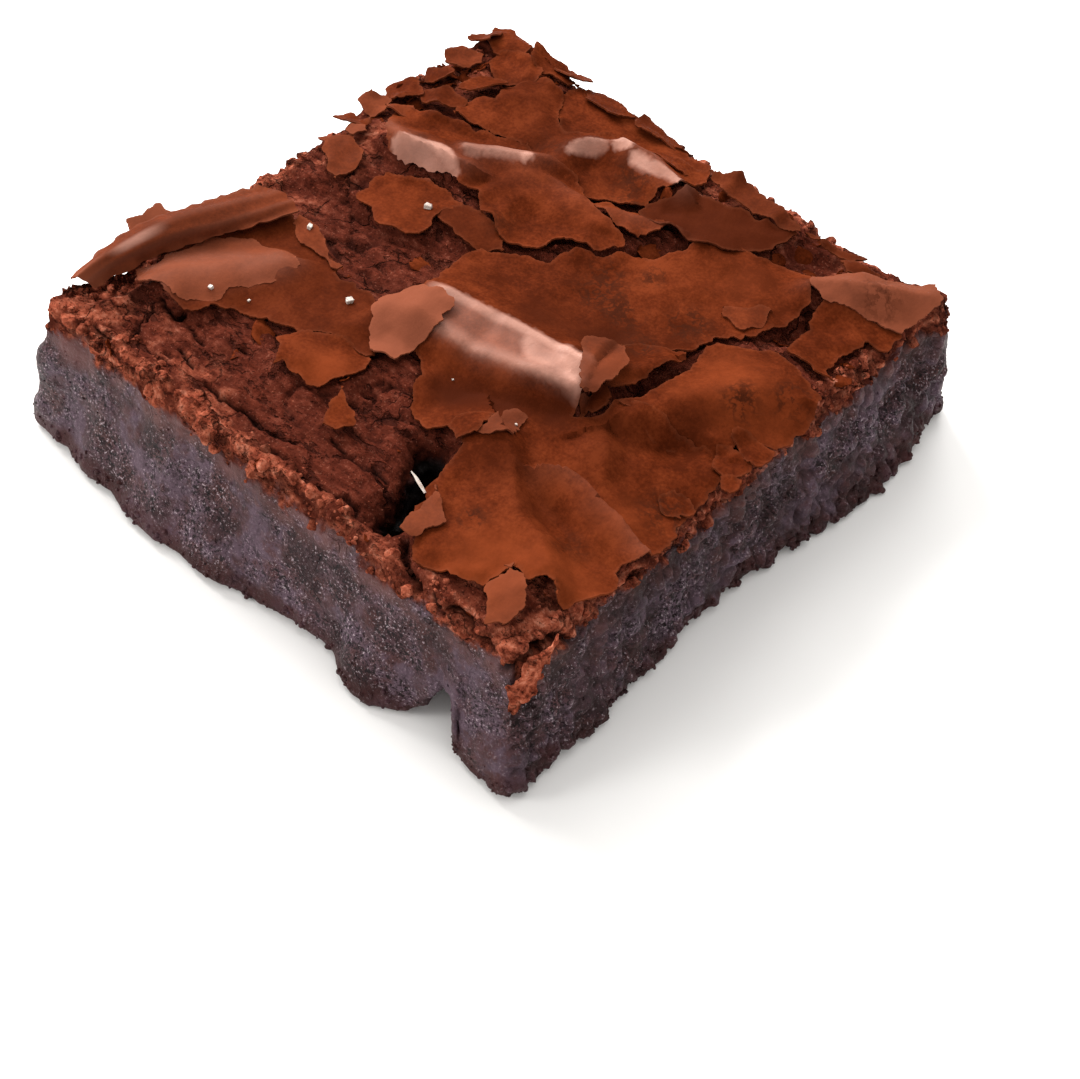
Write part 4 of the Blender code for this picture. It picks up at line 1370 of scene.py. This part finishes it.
# Rows of (hundredths along x, along y, mm above the table), from the curl's free edge over its crest.
CURL_ROWS = (
    rows("1 4.2 21.6, 0 10.6 22, -0.8 17.1 22.1, 0.2 23.2 22.2, 2 30 21.7, 3.4 40.8 20.5"),
    rows("1.9 4.1 22.4, 1.5 9.6 23, 1.1 16.4 23.1, 2.2 22.9 23.2, 4.4 30.1 22.6, 6.4 41.5 20.9"),
    rows("2.8 4.4 22.6, 3 9 23.2, 3.4 15.9 23.3, 4.6 22.3 23.3, 6.9 29.8 22.7, 9.2 41.6 21"),
    rows("3.6 5.2 22, 4 9.6 22.6, 4.7 16 22.6, 6 22 22.5, 8.5 29 21.9, 11.4 41.4 21"),
    rows("4.2 6.2 20.7, 4.6 10.6 21, 5.4 16.4 21, 6.8 21.8 21, 9.5 28.6 21, 13.2 40.8 20.9"),
)
CURL_GRID = (26, 100)      # points across the curl and along it
CURL_RAG = 0.532 * MM
CURL_RAG_SIZE = 2.0 * MM
CURL_GROOVE = 0.12 * MM
CURL_GROOVES = 17.0        # the grooves' turns across the curl
CURL_SEED = 91


def read_row(row, share):
    """A row's places at shares of its length, smoothly."""
    row = np.asarray(row, float)
    knots = np.linspace(0, 1, len(row))
    slopes = np.gradient(row, knots, axis=0)
    index = np.clip((share * (len(row) - 1)).astype(int), 0, len(row) - 2)
    width = knots[1]
    part = ((share - knots[index]) / width)[:, None]
    first, last = row[index], row[index + 1]
    rise = part * part * (3 - 2 * part)
    bend = part * (1 - part) ** 2 * slopes[index] - part * part * (1 - part) * slopes[index + 1]
    return first + (last - first) * rise + bend * width


def curl_marks(flat, across, lengthways, free):
    """The curl has a painted highlight along its crest, is dusty at its front end, and has painted shade in
    its grooves and on its inner side; its free edges get the painted edge highlight.
    """
    grooves = np.sin(across * CURL_GROOVES + 1.4 * uneven(flat, 9 * MM, 2) + 2.0 * lengthways)
    # Painted highlight along the crest.
    lit = smooth_step(1.0 - np.abs(across - 0.56 + 0.10 * lengthways) / 0.16)
    lit *= smooth_step((lengthways - 0.22) / 0.12) * smooth_step((0.60 - lengthways) / 0.18)
    # Painted shade on the inner side and in the grooves.
    dark = 0.30 * smooth_step((across - 0.6) / 0.2) + 0.35 * smooth_step(grooves - 0.2)
    return {
        "bloom": np.clip(0.62 * lit + 0.10 * grooves * smooth_step(lit + 0.4), 0.0, 1.0),
        "pale": np.clip(0.75 - 2.0 * lengthways, 0.25, 1.0),
        "dark": np.clip(dark, 0.0, 1.0),
        "edge": free,
    }


def make_curl(material):
    """The strip of crust that has curled up and hangs over the cut edge."""
    shares_across, shares_along = (np.linspace(0, 1, count) for count in CURL_GRID)
    guides = np.stack([read_row(row, shares_along) for row in CURL_ROWS])
    columns = [read_row(guides[:, column], shares_across) for column in range(len(shares_along))]
    grid = np.stack(columns, axis=1).reshape(-1, 3)
    spread = plan_to_xy(grid[:, :2])
    flat = with_zero(spread)
    across = np.repeat(shares_across, len(shares_along))
    lengthways = np.tile(shares_along, len(shares_across))
    free = smooth_step((0.16 - np.minimum(across, 1 - across)) / 0.16)
    tip = smooth_step((0.10 - np.minimum(lengthways, 1 - lengthways)) / 0.10)
    rags = uneven(flat, CURL_RAG_SIZE, 3) * CURL_RAG
    spread[:, 0] += rags * free * np.sign(across - 0.5)
    spread[:, 1] += rags * tip
    level = grid[:, 2] * MM + 0.5 * sheet_waves(flat, CURL_SEED)
    level += CURL_GROOVE * np.sin(across * CURL_GROOVES + 2.0 * lengthways)
    marks = curl_marks(flat, across, lengthways, free)
    places = np.column_stack([spread, level])
    faces = facing(places, grid_faces(*CURL_GRID), UP)
    mesh = thick_sheet("crust_curl", places, faces, CRUST_THICKNESS, marks)
    return piece_from("crust_curl", mesh, material)


# ---------------------------------------------------------------- crumbs, flakes and salt

Scatter = namedtuple("Scatter", "name where density smallest largest flatness rough dry coral base shape")

# Where it lies is a mark of the crumb. Density is in pieces to the square centimetre, sizes are radii
# in mm, rough is how uneven the pieces are, in mm, and dry, coral and base are their own marks.
SCATTERS = (
    Scatter("rim_lumps", "rim_crumbs", 20, 0.30, 1.05, 0.7, 1.0, 1.0, 0.85, 0.0, "lump"),
    Scatter("rim_crumbs", "rim_crumbs", 110, 0.09, 0.34, 0.8, 0.25, 1.0, 0.85, 0.0, "grain"),
    Scatter("top_crumbs", "bare", 14, 0.07, 0.22, 0.7, 0.2, 1.0, 0.51, 0.0, "grain"),
    Scatter("side_crumbs", "side_crumbs", 30, 0.08, 0.28, 0.55, 0.25, 0.0, 0.0, 0.0, "grain"),
    Scatter("base_crumbs", "base_crumbs", 90, 0.12, 0.48, 0.8, 0.4, 0.0, 0.0, 0.8, "lump"),
    Scatter("crust_flakes", "flake_zone", 30, 0.35, 1.9, 0.07, 1.5, 1.0, 0.0, 0.0, "flake"),
)
# How far each kind of piece leans, and how finely its ball is divided.
SHAPES = {"lump": (3.1, 2), "grain": (3.1, 1), "flake": (0.45, 2)}
SQUARE_CENTIMETRE = 1e4
SCATTER_INPUTS = {
    "Where": "String", "Density": "Float", "Smallest": "Float", "Largest": "Float", "Flatness": "Float",
    "Rough": "Float", "Tilt": "Float", "Detail": "Int", "Seed": "Int", "Material": "Material",
}
SMALL_POWER = 2.2         # most pieces lie near the smallest size
NARROWNESS = 0.8
LEAN_SEED = 5
LUMPS_TO_METRE = 1150.0


def random_value(nodes, low, high, seed, kind="FLOAT"):
    """A random value for each point, between two of its kind."""
    first, output = (0, 0) if kind == "FLOAT_VECTOR" else (2, 1)
    inputs = {first: low, first + 1: high, "Seed": seed}
    return nodes.add("FunctionNodeRandomValue", inputs, output, data_type=kind)


def xyz(nodes, *values):
    return nodes.add("ShaderNodeCombineXYZ", dict(zip("XYZ", values)))


def scattered_points(nodes, given):
    """Points on the given surface, by a density read from one of its marks."""
    where = nodes.add("GeometryNodeInputNamedAttribute", {"Name": given("Where")}, data_type="FLOAT")
    return nodes.add("GeometryNodeDistributePointsOnFaces", {
        "Mesh": given("Geometry"), "Density": where * given("Density"), "Seed": given("Seed"),
    })


def leaning(nodes, given, points):
    """A turn of each point's own, up to the given tilt from the surface."""
    tilt = given("Tilt")
    lean = tilt * -1.0
    turn = random_value(
        nodes, xyz(nodes, lean, lean, 0.0), xyz(nodes, tilt, tilt, 6.28), LEAN_SEED, "FLOAT_VECTOR"
    )
    return nodes.add("FunctionNodeRotateRotation", {
        "Rotation": points.beside("Rotation"),
        "Rotate By": nodes.add("FunctionNodeEulerToRotation", {0: turn}),
    }, rotation_space="LOCAL")


def roughened(nodes, given, pieces):
    """Pushes the pieces' faces in and out."""
    place = nodes.add("GeometryNodeInputPosition", {})
    lumps = {"Vector": place, "Scale": LUMPS_TO_METRE, "Detail": 1.0}
    lumps = nodes.add("ShaderNodeTexNoise", lumps, "Color")
    shift = nodes.add("ShaderNodeVectorMath", {0: lumps, 1: (0.5, 0.5, 0.5)}, operation="SUBTRACT")
    shift = nodes.add("ShaderNodeVectorMath", {0: shift, "Scale": given("Rough")}, operation="SCALE")
    return nodes.add("GeometryNodeSetPosition", {"Geometry": pieces, "Offset": shift})


def scatter_tree():
    """Spreads rough round pieces over a surface."""
    tree = bpy.data.node_groups.new("scattered_crumbs", "GeometryNodeTree")
    tree.interface.new_socket("Geometry", in_out="INPUT", socket_type="NodeSocketGeometry")
    for name, kind in SCATTER_INPUTS.items():
        tree.interface.new_socket(name, in_out="INPUT", socket_type="NodeSocket" + kind)
    tree.interface.new_socket("Geometry", in_out="OUTPUT", socket_type="NodeSocketGeometry")
    nodes = Nodes(tree)
    given = nodes.add("NodeGroupInput", {}).beside
    points = scattered_points(nodes, given)
    small = nodes.math("POWER", random_value(nodes, 0.0, 1.0, given("Seed")), SMALL_POWER)
    spread = given("Largest") - given("Smallest")
    radius = nodes.math("MULTIPLY_ADD", small, spread, given("Smallest"))
    ball = nodes.add("GeometryNodeMeshIcoSphere", {"Radius": 1.0, "Subdivisions": given("Detail")})
    flat = {"Geometry": ball, "Scale": xyz(nodes, 1.0, NARROWNESS, given("Flatness"))}
    pieces = nodes.add("GeometryNodeInstanceOnPoints", {
        "Points": points,
        "Instance": nodes.add("GeometryNodeTransform", flat),
        "Rotation": leaning(nodes, given, points),
        "Scale": radius,
    })
    pieces = roughened(nodes, given, nodes.add("GeometryNodeRealizeInstances", {"Geometry": pieces}))
    painted = nodes.add("GeometryNodeSetMaterial", {"Geometry": pieces, "Material": given("Material")})
    nodes.connect(painted, tree.nodes.new("NodeGroupOutput").inputs[0])
    return tree


def set_inputs(modifier, values):
    """Sets a Geometry Nodes modifier's inputs by the names that its tree gives them."""
    for socket in modifier.node_group.interface.items_tree:
        if socket.in_out == "INPUT" and socket.name in values:
            modifier[socket.identifier] = values[socket.name]


def make_scatter(scatter, seed, tree, surface, materials):
    slot = "crust" if scatter.shape == "flake" else "crumb"
    piece = new_object(scatter.name, surface.data.copy())
    modifier = piece.modifiers.new("scatter", "NODES")
    modifier.node_group = tree
    tilt, detail = SHAPES[scatter.shape]
    set_inputs(modifier, {
        "Where": scatter.where,
        "Density": scatter.density * SQUARE_CENTIMETRE,
        "Smallest": scatter.smallest * MM,
        "Largest": scatter.largest * MM,
        "Flatness": scatter.flatness,
        "Rough": scatter.rough * MM,
        "Tilt": tilt,
        "Detail": detail,
        "Seed": seed,
        "Material": materials[slot],
    })
    apply_modifiers(piece)
    set_marks(piece.data, {mark: getattr(scatter, mark) for mark in ("dry", "coral", "base")})
    if scatter.shape == "flake":
        piece.data.shade_smooth()
    return finish_piece(piece)


# Plan point, width in mm and turn of each salt grain.
SALT = rows(
    "26.4 57.2 0.95 0.3, 33.9 32.2 0.9 1.1, 17.3 18.4 0.6 0.2, 16.6 40 0.75 2, 13.9 41.5 0.55 0.7, "
    "22.5 21.5 0.35 1.5, 71.6 29.8 0.35 0.4, 57.5 31 0.25 0.9"
)
SALT_SEED = 8
SALT_BEVEL = 0.14          # share of its width
SALT_FLATNESS = np.array((1.0, 0.8, 0.65))
# The thin white shaving over the pit: plan points along it, and how high they lie, in mm.
SLIVER = rows("66.4 13.2, 67.8 12.7, 69.3 12.1, 70.8 11.6")
SLIVER_LEVELS = [20.5, 20.65, 20.65, 20.5]
SLIVER_WIDTH = 0.42 * MM
SLIVER_CROWN = 0.12 * MM
SLIVER_THICKNESS = 0.14 * MM
SLIVER_GRID = (3, 22)      # points across it and along it


def surface_of(pieces):
    """A tree that finds where a line meets any of the pieces."""
    corners, faces = [], []
    for piece in pieces:
        first = len(corners)
        corners += [tuple(place) for place in coordinates(piece.data)]
        faces += [tuple(first + corner for corner in face.vertices) for face in piece.data.polygons]
    return BVHTree.FromPolygons(corners, faces)


def islands(mesh):
    """The mesh's separate bodies, each as a list of its vertices."""
    seen, found = set(), []
    for start in mesh.verts:
        if start in seen:
            continue
        body, queue = [], [start]
        seen.add(start)
        while queue:
            vertex = queue.pop()
            body.append(vertex)
            for edge in vertex.link_edges:
                other = edge.other_vert(vertex)
                if other not in seen:
                    seen.add(other)
                    queue.append(other)
        found.append(body)
    return found


def make_salt(surface, material):
    """Broken salt crystals lying where they fell."""
    mesh = bmesh.new()
    rng = random.Random(SALT_SEED)
    for _, _, width, _ in SALT:
        made = bmesh.ops.create_cube(mesh, size=width * MM)["verts"]
        edges = list(dict.fromkeys(edge for vertex in made for edge in vertex.link_edges))
        bmesh.ops.bevel(mesh, geom=edges, offset=width * SALT_BEVEL * MM, segments=1, affect="EDGES")
    for island, (across, up, width, turn) in zip(islands(mesh), SALT):
        place = plan_to_xy([(across, up)])[0]
        top = level_below(surface, [(*place, TOP_LEVEL)])[0]
        spin = Matrix.Rotation(turn, 3, "Z") @ Matrix.Rotation(rng.uniform(-0.3, 0.3), 3, "X")
        for vertex in island:
            vertex.co *= rng.uniform(0.86, 1.1)
            vertex.co = spin @ (vertex.co * Vector(SALT_FLATNESS))
            vertex.co += Vector((*place, top + 0.25 * width * MM))
    data = bpy.data.meshes.new("salt_grains")
    mesh.to_mesh(data)
    mesh.free()
    return piece_from("salt_grains", data, material)


def make_sliver(material):
    """The thin white shaving that leans over the pit."""
    spine = np.column_stack([plan_to_xy(SLIVER), np.array(SLIVER_LEVELS) * MM])
    share = np.linspace(0, 1, SLIVER_GRID[1])
    spine = np.column_stack([np.interp(share, np.linspace(0, 1, len(spine)), line) for line in spine.T])
    run = np.gradient(spine[:, :2], axis=0)
    across = with_zero(np.column_stack([-run[:, 1], run[:, 0]]) / np.hypot(*run.T)[:, None])
    width = SLIVER_WIDTH * np.clip(1.15 - np.abs(share - 0.6) * 1.3, 0.25, 1.0)
    edge = across * (0.5 * width)[:, None]
    places = np.vstack([spine - edge, spine + SLIVER_CROWN * np.array(UP), spine + edge])
    mesh = thick_sheet("pale_sliver", places, grid_faces(*SLIVER_GRID), SLIVER_THICKNESS, {})
    return piece_from("pale_sliver", mesh, material)


# The flake that hangs on the front corner: the plan point it hangs by, the way it faces, and an
# outline of (mm along the side, mm above the table).
CORNER_FLAKE = rows(
    "-1 11.6, -0.7 13.4, -1.2 15.2, 0 16.2, 0.6 18, 2.6 19.2, 3.9 19.9, 3.6 18.6, 3 17.4, 3.2 15.6, "
    "2.2 14.6, 1.9 13, 0.7 12, -0.2 10.8"
)
CORNER_FLAKE_POINT = (100, 0)
CORNER_FLAKE_FACES = (0.62, -0.78)
CORNER_FLAKE_SEED = 90
FLAKE_STANDS_OUT = 0.45 * MM
FLAKE_RELIEF = 0.35 * MM
FLAKE_RELIEF_SIZE = 1.1 * MM
FLAKE_REACH = 20 * MM      # the lines that find the side start this far out


def make_corner_flake(surface, material):
    """A flake of crust stuck on the corner's sides."""
    out = Vector((*CORNER_FLAKE_FACES, 0)).normalized()
    beside = Vector((-out.y, out.x, 0))
    outline = torn(stepped(np.array(CORNER_FLAKE) * MM, OUTLINE_STEP), CORNER_FLAKE_SEED)
    spread, faces = filled(outline, np.random.default_rng(CORNER_FLAKE_SEED))
    start = Vector((*plan_to_xy([CORNER_FLAKE_POINT])[0], 0))
    places = []
    for along_side, height in spread:
        origin = start + beside * along_side + UP * height
        hit = surface.ray_cast(origin + out * FLAKE_REACH, -out)[0]
        relief = FLAKE_RELIEF * noise.fractal(origin / FLAKE_RELIEF_SIZE, 1, 2, 2)
        places.append((hit or origin) + out * (FLAKE_STANDS_OUT + relief))
    places = np.array([tuple(place) for place in places])
    depth = places @ np.array(out)
    places += np.outer(0.5 * (depth.max() - depth), out)
    faces = facing(places, faces, out)
    mesh = thick_sheet("crumb_corner_flake", places, faces, 2 * CRUST_THICKNESS, {"dry": 1.0, "coral": 1.0})
    return piece_from("crumb_corner_flake", mesh, material)


# ---------------------------------------------------------------- putting it together

def main():
    make_camera()
    make_light()
    make_floor()
    crumb = make_crumb()
    materials = {"crumb": crumb.data.materials[0], "crust": crust_material()}
    surface = surface_of([crumb])
    plates = [make_plate(plate, seed, materials["crust"], surface) for seed, plate in enumerate(PLATES)]
    plates.append(make_curl(materials["crust"]))
    make_corner_flake(surface, materials["crumb"])
    salt = salt_material()
    make_salt(surface_of([crumb] + plates), salt)
    make_sliver(salt)
    tree = scatter_tree()
    for seed, scatter in enumerate(SCATTERS):
        make_scatter(scatter, seed, tree, crumb, materials)


main()
